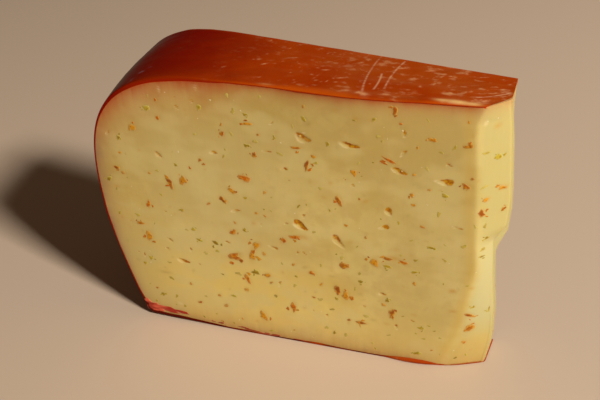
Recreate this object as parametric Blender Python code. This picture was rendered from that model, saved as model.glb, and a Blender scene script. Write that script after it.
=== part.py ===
"""A wedge cut from a wax-coated wheel of semi-hard cheese, with pepper and herb flakes in it.

X runs along the front cut from the rim to the narrow end, Y from the front cut to the back cut,
and Z up. The origin is below the middle of the wedge, on the surface that it stands on. Lengths
are in metres, except in the tables of eyes and flakes, which are in millimetres and degrees.
"""

import math
import random

import bmesh
import bpy
import numpy as np
from mathutils import Matrix

MM = 0.001

# The wheel that the wedge was cut from
HEIGHT = 108 * MM
WHEEL_RADIUS = 175 * MM
WIDEST_HEIGHT = 51.6 * MM
SHOULDER_REACH = 46.2 * MM
SHOULDER_SPREAD = 8.8 * MM
SHOULDER_POWER = 2.9
FOOT_REACH = 8.8 * MM
FOOT_POWER = 1.3
TOE_RADIUS = 2 * MM

# The two cuts: the front one is the plane y = 0, and the back one closes in on it
CENTRE_DEPTH = 36 * MM
RIM_THICKNESS = 42.1 * MM
TAPER = 0.175
BOW = 2.2 * MM
BOW_MIDDLE = 93.7 * MM
BOW_REACH = 23 * MM
BOW_FOOT = 78 * MM
WAX_EDGE = 1.3 * MM
WAX_LIP = 0.6 * MM
LIFT = 2.2 * MM
LIFT_END = 50 * MM
LIFT_TOP = 12 * MM
BEND_POWER = 1.5

# The narrow end, as (height, distance from the rim) where the front cut stops and where the end lies
EDGE_HEIGHTS = np.array([0, 25, 50, 75, 108]) * MM
EDGE_REACH = np.array([122, 128.7, 132.1, 129.7, 127.6]) * MM
END_HEIGHTS = np.array([0, 10, 16, 29, 40, 51, 56, 61, 66, 73, 82, 99, 108]) * MM
END_REACH = np.array([139.6, 140.9, 141.2, 140.7, 139.3, 138.3, 137.9, 139.6, 141.2, 141.4, 140.8, 139.3, 138.5]) * MM
NICK_SLANT = 10 * MM
CORNER_DEPTH = 6.2 * MM
CORNER_STEP = 0.7 * MM
CORNER_OVERHANG = 2.9 * MM
CORNER_ROUND = 1.2 * MM
NICK_SOFTNESS = 2.2 * MM
ROUND_HEIGHTS = np.array([0, 30, 50, 108]) * MM
ROUND_REACH = np.array([11, 5, 1.6, 1.2]) * MM

# How finely the body is divided
CUT_POINTS = 15
CORNER_POINTS = 5
RIM_POINTS = 6
LOW_LEVELS = [0, 0.5 * MM, 1.2 * MM, 2.5 * MM, 5 * MM]
STRAIGHT_LEVELS = 15
STRAIGHT_RANGE = (9 * MM, 72 * MM)
SHOULDER_LEVELS = 14
SHOULDER_START = 74 * MM
LIP_STEP = 0.3 * MM
LEVEL_STEP = 0.01 * MM

# Eyes in the front cut: distance from the rim, height, length, width, tilt
EYES = [
    (76.9, 91.3, 5.2, 2.8, -10),
    (91.2, 90.7, 4.4, 2.2, -4),
    (106.5, 83.2, 4.6, 2.2, -10),
    (120.5, 81.2, 6.6, 1.9, -1),
    (27.9, 31.9, 4.2, 2.2, -15),
    (74.1, 56.6, 6.0, 3.0, -29),
    (86.9, 52.3, 4.6, 3.4, -48),
    (103.7, 67.3, 3.0, 2.4, -46),
    (102.6, 60.8, 3.6, 1.6, 10),
    (26.3, 78.1, 3.4, 1.6, -32),
    (46.4, 81.8, 3.0, 1.4, 2),
    (51.7, 59.1, 3.6, 1.4, 10),
]
# The largest flakes in the front cut: distance from the rim, height, length, width, tilt
FLAKES = [
    (55.9, 73.1, 3.3, 3.0, 76),
    (58.9, 94.1, 3.0, 1.2, 7),
    (74.5, 87.4, 2.9, 1.2, 8),
    (77.6, 81.2, 3.5, 1.2, 79),
    (126.4, 94.7, 2.8, 1.4, 19),
    (92.7, 80.6, 2.2, 1.9, 8),
    (126.6, 80.5, 2.3, 1.8, 57),
    (105.2, 104.2, 2.6, 1.3, 83),
    (33.7, 68.9, 2.7, 2.5, 9),
    (28.4, 67.2, 4.7, 1.8, -69),
    (16.3, 41.6, 3.6, 2.0, 79),
    (48.9, 38.2, 5.1, 2.4, 22),
    (55.9, 41.6, 4.2, 1.8, 81),
    (71.9, 50.6, 3.5, 1.4, -2),
    (87.6, 69.1, 3.4, 1.9, -78),
    (89.0, 41.6, 2.7, 2.4, 56),
    (86.0, 31.2, 4.3, 2.1, -70),
    (99.5, 45.2, 3.6, 2.2, 87),
    (105.8, 23.0, 3.5, 2.0, 84),
    (125.8, 37.9, 3.0, 1.6, 12),
    (132.0, 26.8, 3.1, 1.4, -29),
    (132.4, 20.4, 3.6, 2.8, 81),
    (133.6, 100.4, 2.4, 1.6, 40),
    (134.8, 90.0, 2.4, 1.6, 20),
    (132.0, 70.8, 2.6, 1.8, 85),
    (137.2, 78.8, 2.2, 1.3, 10),
    (134.4, 60.4, 2.0, 1.4, 0),
    (57.5, 10.3, 4.0, 2.4, -87),
    (69.7, 17.7, 4.2, 1.6, 83),
]
# Wax squeezed over the foot of the front cut: the same five sizes
WAX_SWELLS = [
    (16.5, 5.6, 20.0, 5.4, -14),
    (116.5, 1.6, 13.0, 2.6, 0),
]
SMALL_FLAKES = 60
BACK_FLAKES = 70
BACK_EYES = 10
FLAKE_LENGTHS = (1.4 * MM, 3.2 * MM)
EYE_LENGTHS = (2.6 * MM, 5.0 * MM)
FLAKE_HEIGHT = 0.35 * MM
FLAKE_DEPTH = 0.9 * MM
EYE_DEPTH = 1.5 * MM
SWELL_SIDES = 16
CLEARANCE = 0.7 * MM
SLOPE_STEP = 0.5 * MM
MARGIN = 6 * MM
FRONT_SCATTER_END = 124 * MM
BACK_SCATTER_END = 130 * MM
FLAKE_SHAPES = (0.4, 0.85)
EYE_LEAN = 12
SEED = 12

PASTE = (0.54, 0.36, 0.105, 1.0)
PASTE_ROUGHNESS = 0.5


def clear_scene():
    for old in list(bpy.data.objects):
        bpy.data.objects.remove(old, do_unlink=True)


def new_collection(name):
    collection = bpy.data.collections.new(name)
    bpy.context.scene.collection.children.link(collection)
    return collection


def paste_material():
    material = bpy.data.materials.new("paste")
    material.use_nodes = True
    shader = material.node_tree.nodes["Principled BSDF"]
    shader.inputs["Base Color"].default_value = PASTE
    shader.inputs["Roughness"].default_value = PASTE_ROUGHNESS
    shader.inputs["Metallic"].default_value = 0.0
    return material


def rim_inset(z, y):
    """How far the rim lies inside its widest point: an oval above, wider at the back, a slow curve below."""
    up = min(max(z - WIDEST_HEIGHT, 0) / (HEIGHT - WIDEST_HEIGHT), 1)
    down = max(WIDEST_HEIGHT - z, 0) / WIDEST_HEIGHT
    reach = SHOULDER_REACH + SHOULDER_SPREAD * y / RIM_THICKNESS
    shoulder = reach * (1 - (1 - up**SHOULDER_POWER) ** (1 / SHOULDER_POWER))
    toe_drop = max(1 - z / TOE_RADIUS, 0)
    toe = TOE_RADIUS * (1 - math.sqrt(1 - toe_drop**2))
    return shoulder + FOOT_REACH * down**FOOT_POWER + toe


def rim_x(z, y):
    """Distance along X at which the round rim lies, for height z and depth y."""
    centre_x = math.sqrt(WHEEL_RADIUS**2 - CENTRE_DEPTH**2)
    radius = WHEEL_RADIUS - rim_inset(z, y)
    return centre_x - np.sqrt(radius**2 - (y - CENTRE_DEPTH) ** 2)


def back_y(x):
    return RIM_THICKNESS - TAPER * x


def front_y(x, z):
    """The front cut: flat, but bowed out a little under the top edge, where the wax also makes a lip."""
    rise = np.clip((z - BOW_FOOT) / (HEIGHT - BOW_FOOT), 0, 1) ** BEND_POWER
    bow = BOW * np.exp(-(((x - BOW_MIDDLE) / BOW_REACH) ** 2)) * rise
    lip = WAX_LIP if z > HEIGHT - WAX_EDGE - LEVEL_STEP else 0
    return -bow - lip


def rounded(corner, before, after, reach):
    """Points of a rounded corner: a quadratic curve between points at that reach along both sides."""
    corner, before, after = map(np.array, (corner, before, after))
    start = corner + (before - corner) * reach / np.linalg.norm(before - corner)
    stop = corner + (after - corner) * reach / np.linalg.norm(after - corner)
    t = np.linspace(0, 1, CORNER_POINTS)[:, None]
    return (1 - t) ** 2 * start + 2 * t * (1 - t) * corner + t**2 * stop


def end_x(z):
    """Where the narrow end lies at height z: its knots joined by lines and averaged over a short stretch."""
    around = z + np.linspace(-NICK_SOFTNESS, NICK_SOFTNESS, 7)
    return np.interp(around, END_HEIGHTS, END_REACH).mean()


def plan_outline(z):
    """The wedge's outline at height z, anticlockwise from above: front cut, end, back cut, rim."""
    edge = np.interp(z, EDGE_HEIGHTS, EDGE_REACH)
    if z > HEIGHT - WAX_EDGE - LEVEL_STEP:
        edge += CORNER_OVERHANG
    end = end_x(z)
    far_end = end_x(z + NICK_SLANT)
    soft = np.interp(z, ROUND_HEIGHTS, ROUND_REACH)
    lip = front_y(edge, z)
    front_start = rim_x(z, 0.0)
    near = (edge, lip)
    middle = (end - CORNER_STEP, CORNER_DEPTH)
    far = (far_end, back_y(far_end))
    near_corner = rounded(near, (front_start, lip), middle, soft)
    middle_corner = rounded(middle, near, far, CORNER_ROUND)
    front_x = np.linspace(front_start, near_corner[0][0], CUT_POINTS)
    front = np.stack([front_x, front_y(front_x, z)], 1)
    back_end = front_start
    for _ in range(4):
        back_end = rim_x(z, back_y(back_end))
    back_x = np.linspace(far_end, back_end, CUT_POINTS)
    back = np.stack([back_x, back_y(back_x)], 1)
    rim_y = np.linspace(back[-1][1], front[0][1], RIM_POINTS + 2)[1:-1]
    rim = np.stack([rim_x(z, rim_y), rim_y], 1)
    return np.concatenate([front, near_corner[1:], middle_corner, back, rim])


def levels():
    """Heights of the outlines: even below, close together over the shoulder, with a step for the wax edge."""
    straight = np.linspace(*STRAIGHT_RANGE, STRAIGHT_LEVELS)
    angle = np.linspace(0.3, math.pi / 2, SHOULDER_LEVELS)
    turn = np.sin(angle) ** (2 / SHOULDER_POWER)
    shoulder = WIDEST_HEIGHT + (HEIGHT - WIDEST_HEIGHT) * turn
    edge = [HEIGHT - WAX_EDGE - LIP_STEP, HEIGHT - WAX_EDGE]
    heights = np.concatenate([LOW_LEVELS, straight, shoulder[shoulder > SHOULDER_START], edge])
    return np.unique(np.round(heights, 5))


def lifted(x, z):
    """Height of a point that was at z: near the rim the foot of the wedge bends up from the board."""
    share = np.clip((LIFT_END - x) / LIFT_END, 0, 1) ** BEND_POWER
    return z + LIFT * share * max(1 - z / LIFT_TOP, 0)


def wedge_body():
    """The wedge as a stack of outlines, closed at the top and the bottom by strips across it."""
    mesh = bmesh.new()
    rows = []
    for z in levels():
        row = [mesh.verts.new((x, y, lifted(x, z))) for x, y in plan_outline(z)]
        rows.append(row)
    count = len(rows[0])
    for below, above in zip(rows, rows[1:]):
        for i in range(count):
            j = (i + 1) % count
            mesh.faces.new((below[i], below[j], above[j], above[i]))
    back_start = count - RIM_POINTS - CUT_POINTS
    for row in (rows[0], rows[-1]):
        front = row[:CUT_POINTS]
        back = row[back_start:back_start + CUT_POINTS][::-1]
        for i in range(CUT_POINTS - 1):
            mesh.faces.new((front[i], front[i + 1], back[i + 1], back[i]))
        mesh.faces.new([front[0]] + [back[0]] + row[back_start + CUT_POINTS:])
        mesh.faces.new(row[CUT_POINTS - 1:back_start + 1])
    bmesh.ops.recalc_face_normals(mesh, faces=mesh.faces)
    return mesh


def object_from(mesh, name, collection):
    data = bpy.data.meshes.new(name)
    mesh.to_mesh(data)
    mesh.free()
    made = bpy.data.objects.new(name, data)
    collection.objects.link(made)
    return made


def near_side_y(x, z):
    """Depth of the side that faces forwards, which is the front cut and then the slanting corner."""
    outline = plan_outline(z)[:CUT_POINTS + 2 * CORNER_POINTS - 1]
    return float(np.interp(x, outline[:, 0], outline[:, 1]))


def front_place(x, z, tilt):
    """A frame on that side: its first axis along the side at that tilt, its second pointing inwards."""
    y = near_side_y(x, z)
    slope = (near_side_y(x + SLOPE_STEP, z) - near_side_y(x - SLOPE_STEP, z)) / (2 * SLOPE_STEP)
    about = Matrix.Rotation(math.atan(slope), 4, "Z")
    turn = Matrix.Rotation(-math.radians(tilt), 4, "Y")
    return Matrix.Translation((x, y, z)) @ about @ turn


def back_place(x, z, tilt):
    """The same on the back cut, which is turned by the taper."""
    about = Matrix.Rotation(math.pi - math.atan(TAPER), 4, "Z")
    turn = Matrix.Rotation(-math.radians(tilt), 4, "Y")
    return Matrix.Translation((x, back_y(x), z)) @ about @ turn


def flake_relief(place, length, width, collection, around=7):
    """A flake that stands a little proud of the cut: a flat oval body, half sunk."""
    sink = Matrix.Translation((0, FLAKE_DEPTH - FLAKE_HEIGHT, 0))
    size = Matrix.Diagonal((length / 2, FLAKE_DEPTH, width / 2, 1))
    mesh = bmesh.new()
    bmesh.ops.create_uvsphere(mesh, u_segments=around, v_segments=5, radius=1, matrix=place @ sink @ size)
    return object_from(mesh, "flake", collection)


def swell_relief(place, length, width, collection):
    """A low swell of wax: the same form as a flake, with more sides."""
    return flake_relief(place, length, width, collection, around=SWELL_SIDES)


def eye_cutter(place, length, width, collection):
    """An oval body that leaves a shallow eye in the cut."""
    lean = Matrix.Rotation(math.radians(EYE_LEAN), 4, "Y")
    size = Matrix.Diagonal((length / 2, EYE_DEPTH, width / 2, 1))
    mesh = bmesh.new()
    bmesh.ops.create_uvsphere(mesh, u_segments=9, v_segments=6, radius=1, matrix=place @ lean @ size)
    return object_from(mesh, "eye", collection)


def clear_of(spots, x, z, reach):
    return all(math.hypot(x - a, z - b) > reach + r + CLEARANCE for a, b, r in spots)


def scattered(draw, count, lengths, spots, depth, keep_right):
    """Random places on a cut, clear of the rim, of both edges and of each other."""
    found = []
    while len(found) < count:
        z = draw.uniform(MARGIN, HEIGHT - MARGIN)
        x = draw.uniform(rim_inset(z, depth) + MARGIN, keep_right)
        length = draw.uniform(*lengths)
        if clear_of(spots, x, z, length / 2):
            spots.append((x, z, length / 2))
            found.append((x, z, length, length * draw.uniform(*FLAKE_SHAPES), draw.uniform(-90, 90)))
    return found


def add_relief(flakes, eyes):
    """Puts the eyes and flakes of the front cut in their places, and scatters small ones on both cuts."""
    draw = random.Random(SEED)
    spots = []
    groups = (
        (EYES, eye_cutter, eyes),
        (FLAKES, flake_relief, flakes),
        (WAX_SWELLS, swell_relief, flakes),
    )
    for rows, make, group in groups:
        for x, z, length, width, tilt in rows:
            spots.append((x * MM, z * MM, length * MM / 2))
            make(front_place(x * MM, z * MM, tilt), length * MM, width * MM, group)
    front = (0.0, FRONT_SCATTER_END)
    for x, z, length, width, tilt in scattered(draw, SMALL_FLAKES, FLAKE_LENGTHS, spots, *front):
        flake_relief(front_place(x, z, tilt), length, width, flakes)
    spots = []
    back = (RIM_THICKNESS, BACK_SCATTER_END)
    for x, z, length, width, tilt in scattered(draw, BACK_EYES, EYE_LENGTHS, spots, *back):
        eye_cutter(back_place(x, z, tilt), length, width, eyes)
    for x, z, length, width, tilt in scattered(draw, BACK_FLAKES, FLAKE_LENGTHS, spots, *back):
        flake_relief(back_place(x, z, tilt), length, width, flakes)


def apply_boolean(body, operation, solver, group):
    """Joins a collection to the body, or cuts it out, and then removes the collection's objects."""
    modifier = body.modifiers.new(operation.lower(), "BOOLEAN")
    modifier.operation = operation
    modifier.operand_type = "COLLECTION"
    modifier.collection = group
    modifier.solver = solver
    evaluated = body.evaluated_get(bpy.context.evaluated_depsgraph_get())
    result = bpy.data.meshes.new_from_object(evaluated)
    body.modifiers.remove(modifier)
    body.data = result
    for used in list(group.objects):
        bpy.data.objects.remove(used, do_unlink=True)


def centre_on_box(body):
    """Moves the mesh so that the origin is below the middle of its box, at the height of its foot."""
    places = np.array([v.co for v in body.data.vertices])
    low, high = places.min(0), places.max(0)
    shift = ((low[0] + high[0]) / 2, (low[1] + high[1]) / 2, low[2])
    body.data.transform(Matrix.Translation([-s for s in shift]))


def main():
    clear_scene()
    parts = new_collection("cheese_wedge")
    flakes = new_collection("flakes_to_join")
    eyes = new_collection("eyes_to_cut")
    body = object_from(wedge_body(), "cheese_wedge", parts)
    add_relief(flakes, eyes)
    apply_boolean(body, "DIFFERENCE", "EXACT", eyes)
    apply_boolean(body, "UNION", "MANIFOLD", flakes)
    centre_on_box(body)
    body.data.materials.clear()
    body.data.materials.append(paste_material())
    body.data.shade_flat()


main()
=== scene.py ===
# %% [markdown]
# # A wedge of spiced cheese in a wax coat
#
# The wedge was cut from a round wheel. Two flat cuts show the paste, with small eyes and flakes of
# pepper and herb, and a thin wax coat covers the top, the round rim and the foot. The imported solid is
# the frame that every new piece is fitted to: its box is read first and kept.

import math

import bpy
import numpy as np
from mathutils import Matrix, Vector


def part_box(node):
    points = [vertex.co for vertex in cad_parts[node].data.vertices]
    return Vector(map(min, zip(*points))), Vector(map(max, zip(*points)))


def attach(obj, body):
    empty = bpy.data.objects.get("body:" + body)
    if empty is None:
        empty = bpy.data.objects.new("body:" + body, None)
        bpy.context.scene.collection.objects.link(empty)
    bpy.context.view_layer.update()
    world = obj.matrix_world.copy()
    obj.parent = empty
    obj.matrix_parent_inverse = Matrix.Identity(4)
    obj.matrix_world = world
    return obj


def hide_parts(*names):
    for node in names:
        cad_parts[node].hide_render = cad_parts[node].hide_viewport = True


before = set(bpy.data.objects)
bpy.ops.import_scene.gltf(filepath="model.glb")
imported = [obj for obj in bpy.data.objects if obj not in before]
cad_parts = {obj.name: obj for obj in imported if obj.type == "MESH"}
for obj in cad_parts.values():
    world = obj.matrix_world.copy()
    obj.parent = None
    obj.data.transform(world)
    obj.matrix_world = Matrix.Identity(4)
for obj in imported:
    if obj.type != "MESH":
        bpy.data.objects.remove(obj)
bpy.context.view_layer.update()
low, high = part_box("cheese_wedge")
MM = 0.001
print("the solid's box, mm:", [round(v / MM, 1) for v in (*low, *high)])

# %% [markdown]
# The sizes below are those of the solid. X is the distance along the front cut from the rim's widest
# point, Y the depth behind the front cut and Z the height. Working in these directions keeps the
# formulas short, and one shift at the end of each piece takes it to the solid's own place.

# %% Sizes of the wheel and of the wedge
HEIGHT = 108 * MM
WHEEL_RADIUS = 175 * MM
WIDEST_HEIGHT = 51.6 * MM
SHOULDER_REACH = 46.2 * MM
SHOULDER_SPREAD = 8.8 * MM
SHOULDER_POWER = 2.9
FOOT_REACH = 8.8 * MM
FOOT_POWER = 1.3
TOE_RADIUS = 2 * MM
CENTRE_DEPTH = 36 * MM
RIM_THICKNESS = 42.1 * MM
TAPER = 0.175
BOW, BOW_MIDDLE, BOW_REACH, BOW_FOOT = 2.2 * MM, 93.7 * MM, 23 * MM, 78 * MM
LIFT, LIFT_END, LIFT_TOP = 2.2 * MM, 50 * MM, 12 * MM
EDGE_HEIGHTS = np.array([0, 18, 47, 75, 108]) * MM
EDGE_REACH = np.array([124.2, 130.0, 133.0, 130.3, 127.8]) * MM
END_HEIGHTS = np.array([0, 10, 16, 29, 40, 51, 57.5, 60.2, 63, 73, 82, 99, 108]) * MM
END_REACH = [139.4, 140.6, 140.8, 140.3, 138.9, 137.9, 137.3, 138.9, 140.8, 141.0, 140.3, 138.6, 137.2]
END_REACH = np.array(END_REACH) * MM
NICK_SLANT = 10 * MM
ROUND_HEIGHTS = np.array([0, 30, 50, 108]) * MM
ROUND_REACH = np.array([11, 5, 1.6, 1.2]) * MM
CORNER_DEPTH = 6.2 * MM
CORNER_STEP = 0.7 * MM
FLATTER, FLATTER_HEIGHT, FLATTER_REACH = 0.5 * MM, 58 * MM, 24 * MM
CORNER_OVERHANG = 1.9 * MM

CENTRE_X = math.sqrt(WHEEL_RADIUS**2 - CENTRE_DEPTH**2)
RIM_BULGE = WHEEL_RADIUS - CENTRE_X
SHIFT = np.array([low.x + RIM_BULGE, high.y - RIM_THICKNESS - TAPER * RIM_BULGE, 0.0])
print("shift to the solid's place, mm:", np.round(SHIFT / MM, 2))

# %% [markdown]
# ## The camera, the floor and the light
#
# A camera is matched to a photograph by finding where it stood. Here it stands a little more than
# three heights away, looks down at about 36 degrees and is rolled by a few degrees. The floor is
# plain and pale. One soft lamp stands to the right and in front, so the front cut is lit at a low
# angle and its eyes show, and a pale sky fills the shadows.

# %% Camera
EYE_POINT = Vector((137.0, -185.0, 211.9)) * MM
LOOK_DOWN = math.radians(36.53)
ROLL = math.radians(-3.63)
HEADING = math.radians(18.6)
FILM_WIDTH, LENS = 36, 45


def camera_axes():
    """Right, up and backward: level axes turned to the heading, tipped down, then rolled about the view."""
    side = Vector((math.cos(HEADING), math.sin(HEADING), 0))
    ahead = Vector((-math.sin(HEADING), math.cos(HEADING), 0))
    forward = ahead * math.cos(LOOK_DOWN) - Vector((0, 0, math.sin(LOOK_DOWN)))
    upward = ahead * math.sin(LOOK_DOWN) + Vector((0, 0, math.cos(LOOK_DOWN)))
    right = side * math.cos(ROLL) + upward * math.sin(ROLL)
    up = upward * math.cos(ROLL) - side * math.sin(ROLL)
    return right, up, -forward


camera = bpy.data.objects.new("camera", bpy.data.cameras.new("camera"))
camera.data.sensor_width = FILM_WIDTH
camera.data.lens = LENS
camera.data.clip_start = 0.01
place = Matrix([list(axis) for axis in camera_axes()]).transposed().to_4x4()
place.translation = EYE_POINT + Vector(SHIFT)
camera.matrix_world = place
bpy.context.scene.collection.objects.link(camera)
bpy.context.scene.camera = camera
print("camera at, mm:", [round(v / MM, 1) for v in place.translation])

# %% Floor
FLOOR_COLOUR = (0.66, 0.50, 0.36, 1)
FLOOR_HALF = 3.0
FLOOR_DROP = 0.05 * MM

floor_mesh = bpy.data.meshes.new("floor")
corners = [(x * FLOOR_HALF, y * FLOOR_HALF, -FLOOR_DROP) for x, y in [(-1, -1), (1, -1), (1, 1), (-1, 1)]]
floor_mesh.from_pydata(corners, [], [(0, 1, 2, 3)])
floor = bpy.data.objects.new("floor", floor_mesh)
bpy.context.scene.collection.objects.link(floor)
floor_material = bpy.data.materials.new("floor")
floor_material.use_nodes = True
floor_shader = floor_material.node_tree.nodes["Principled BSDF"]
floor_shader.inputs["Base Color"].default_value = FLOOR_COLOUR
floor_shader.inputs["Roughness"].default_value = 0.7
floor_mesh.materials.append(floor_material)

# %% Lamp and sky
TOWARDS_LAMP = Vector((1.16, -0.55, 1.0)).normalized()
LAMP_DISTANCE, LAMP_SIZE, LAMP_POWER = 2.0, 0.28, 46.0
LAMP_COLOUR = (1.0, 0.96, 0.90)
SKY_COLOUR = (1.0, 0.66, 0.44, 1)
SKY_STRENGTH = 0.068

lamp_data = bpy.data.lights.new("key_lamp", "AREA")
lamp_data.size = LAMP_SIZE
lamp_data.energy = LAMP_POWER
lamp_data.color = LAMP_COLOUR
lamp = bpy.data.objects.new("key_lamp", lamp_data)
lamp.location = TOWARDS_LAMP * LAMP_DISTANCE + Vector((0, 0, HEIGHT / 2))
lamp.rotation_mode = "QUATERNION"
lamp.rotation_quaternion = TOWARDS_LAMP.to_track_quat("Z", "Y")
bpy.context.scene.collection.objects.link(lamp)
world = bpy.data.worlds.new("sky")
world.use_nodes = True
world.node_tree.nodes["Background"].inputs["Color"].default_value = SKY_COLOUR
world.node_tree.nodes["Background"].inputs["Strength"].default_value = SKY_STRENGTH
bpy.context.scene.world = world
bpy.context.scene.view_settings.view_transform = "Standard"
print("key lamp towards", [round(v, 2) for v in TOWARDS_LAMP])

# %% [markdown]
# ## Shader maths in short
#
# A material is a web of nodes. Writing it as sums and products is easier to read, so one small class
# wraps a socket: an expression on two wires adds a Math node, and one method adds any other node.

# %% A wrapped socket


class Wire:
    """One socket of a material. Arithmetic on wires adds Math nodes to the material's tree."""

    def __init__(self, tree, socket=None):
        self.tree = tree
        self.socket = socket

    def node(self, kind, settings=None, inputs=None, output=0):
        """Adds a node: its settings first, then its sockets' values or links; gives one of its outputs."""
        made = self.tree.nodes.new(kind)
        for name, value in (settings or {}).items():
            setattr(made, name, value)
        for key, value in (inputs or {}).items():
            if isinstance(value, Wire):
                self.tree.links.new(value.socket, made.inputs[key])
            else:
                made.inputs[key].default_value = value
        return Wire(self.tree, made.outputs[output])

    def maths(self, operation, *terms):
        return self.node("ShaderNodeMath", {"operation": operation}, dict(enumerate(terms)))

    def __add__(self, other):
        return self.maths("ADD", self, other)

    __radd__ = __add__

    def __mul__(self, other):
        return self.maths("MULTIPLY", self, other)

    __rmul__ = __mul__

    def __sub__(self, other):
        return self.maths("SUBTRACT", self, other)

    def __rsub__(self, other):
        return self.maths("SUBTRACT", other, self)

    def ramp(self, start, stop):
        """A mask that rises smoothly from 0 at start to 1 at stop, or falls where stop is the lower one."""
        settings = {"interpolation_type": "SMOOTHSTEP", "clamp": True}
        low_first = start < stop
        sockets = {0: self, 1: min(start, stop), 2: max(start, stop), 3: 0.0, 4: 1.0}
        rise = self.node("ShaderNodeMapRange", settings, sockets)
        return rise if low_first else 1 - rise

    def mix(self, first, second):
        """The colour that goes from first to second as this mask goes from 0 to 1."""
        settings = {"data_type": "RGBA", "clamp_factor": True}
        ends = [end if isinstance(end, Wire) else (*end, 1) for end in (first, second)]
        return self.node("ShaderNodeMix", settings, {0: self, 6: ends[0], 7: ends[1]}, output=2)

    def noise(self, coordinates, scale, detail=2.0, stretch=(1, 1, 1), place=(0, 0, 0)):
        """Cloudy noise on those coordinates, which are first stretched and moved."""
        mapping = {"Vector": coordinates, "Scale": stretch, "Location": place}
        moved = self.node("ShaderNodeMapping", None, mapping)
        return self.node("ShaderNodeTexNoise", None, {"Vector": moved, "Scale": scale, "Detail": detail})

    def attribute(self, name):
        return self.node("ShaderNodeAttribute", {"attribute_name": name}, None, output=2)

    def axis(self, index):
        return self.node("ShaderNodeSeparateXYZ", None, {0: self}, output=index)

    def bump(self, strength, distance):
        """The surface's direction, tilted as if this wire were its height."""
        return self.node("ShaderNodeBump", None, {"Strength": strength, "Distance": distance, "Height": self})


def new_material(name):
    """A material, a wire to add nodes with, its Principled shader and a wire of Object coordinates."""
    material = bpy.data.materials.new(name)
    material.use_nodes = True
    wire = Wire(material.node_tree)
    places = wire.node("ShaderNodeTexCoord", None, None, output=3)
    return material, wire, material.node_tree.nodes["Principled BSDF"], places


def layered(colour, layers):
    """Lays each layer's colour over those before it, as far as the layer's mask says."""
    for mask, layer_colour in layers:
        colour = mask.mix(colour, layer_colour)
    return colour


def plug(shader, **wires):
    """Links wires to the shader's sockets, and sets plain numbers and colours on the sockets themselves."""
    for key, value in wires.items():
        socket = shader.inputs[key.replace("_", " ")]
        if isinstance(value, Wire):
            value.tree.links.new(value.socket, socket)
        else:
            socket.default_value = value

# %% [markdown]
# ## The shape of the wedge as functions
#
# Each surface of the wedge is a function of two distances. The rim is part of a wheel: at each height
# it lies on a circle, and the circle's radius falls off over the shoulder as an oval does. The front
# cut is flat and turns into a slanting corner face towards the narrow end. These functions take whole
# numpy arrays, so one call works out a hundred thousand points.

# %% The rim, the cuts and the end


def rim_inset(z, y):
    """How far the rim lies inside its widest point at height z and depth y.

    Above it is an oval with power 2.9, wider towards the back, below it a curve with power 1.3 and a toe."""
    up = np.clip((z - WIDEST_HEIGHT) / (HEIGHT - WIDEST_HEIGHT), 0, 1)
    down = np.clip((WIDEST_HEIGHT - z) / WIDEST_HEIGHT, 0, 1)
    drop = np.clip(1 - z / TOE_RADIUS, 0, 1)
    reach = SHOULDER_REACH + SHOULDER_SPREAD * y / RIM_THICKNESS
    shoulder = reach * (1 - (1 - up**SHOULDER_POWER) ** (1 / SHOULDER_POWER))
    shoulder += FLATTER * np.exp(-(((z - FLATTER_HEIGHT) / FLATTER_REACH) ** 2))
    return shoulder + FOOT_REACH * down**FOOT_POWER + TOE_RADIUS * (1 - np.sqrt(1 - drop**2))


def rim_x(z, y):
    """Where the wheel's circle at height z meets depth y: centre - sqrt(radius^2 - (y - centre depth)^2)."""
    radius = WHEEL_RADIUS - rim_inset(z, y)
    return CENTRE_X - np.sqrt(radius**2 - (y - CENTRE_DEPTH) ** 2)


def shoulder_heights(count):
    """Heights from the widest point to the top that follow the oval's own angle, closer near its start."""
    angle = math.pi / 2 * (1 - (1 - np.linspace(0, 1, count)) ** 1.7)
    return WIDEST_HEIGHT + (HEIGHT - WIDEST_HEIGHT) * np.sin(angle) ** (2 / SHOULDER_POWER)


def soft_knots(z, heights, reach, softness=1.0 * MM):
    """Knots joined by straight lines, averaged over a short stretch of height so that each bend is round."""
    around = z[..., None] + np.linspace(-softness, softness, 9)
    return np.interp(around, heights, reach).mean(-1)


def end_x(z):
    """How far the narrow end lies from the rim: its knots, rounded at the nick half-way up."""
    return soft_knots(z, END_HEIGHTS, END_REACH)


def edge_x(z):
    """Where the front cut turns into the slanting corner face."""
    return soft_knots(z, EDGE_HEIGHTS, EDGE_REACH, 6 * MM)


def back_y(x):
    """The back cut: a plane that closes in on the front one."""
    return RIM_THICKNESS - TAPER * x


def corner_slope(z, ahead=0.0):
    """Depth gained per millimetre along the corner face, which may start that far ahead of its place."""
    return CORNER_DEPTH / (end_x(z) - CORNER_STEP - edge_x(z) - ahead)


def overhang(z):
    """Under the top the corner face starts further out, where the wax held the paste."""
    return CORNER_OVERHANG * np.clip((z - 102 * MM) / (5 * MM), 0, 1)


def corner_round(z, ahead=0.0):
    """How softly the cut turns into the corner face: half the slope times the reach of the round edge."""
    return 0.5 * corner_slope(z, ahead) * np.interp(z, ROUND_HEIGHTS, ROUND_REACH)


def near_y(x, z, ahead=0.0):
    """Depth of the near side: (past + sqrt(past^2 + soft^2)) / 2 - bow; past is the corner face's depth."""
    past = corner_slope(z, ahead) * (x - edge_x(z) - ahead)
    soft = corner_round(z, ahead)
    rise = np.clip((z - BOW_FOOT) / (HEIGHT - BOW_FOOT), 0, 1) ** 1.5
    bow = BOW * np.exp(-(((x - BOW_MIDDLE) / BOW_REACH) ** 2)) * rise
    return 0.5 * (past + np.sqrt(past**2 + soft**2)) - bow


def lifted(x, z):
    """The height of a point once the foot has bent up a little from the board near the rim."""
    share = np.clip((LIFT_END - x) / LIFT_END, 0, 1) ** 1.5
    return z + LIFT * share * np.clip(1 - z / LIFT_TOP, 0, 1)


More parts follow.
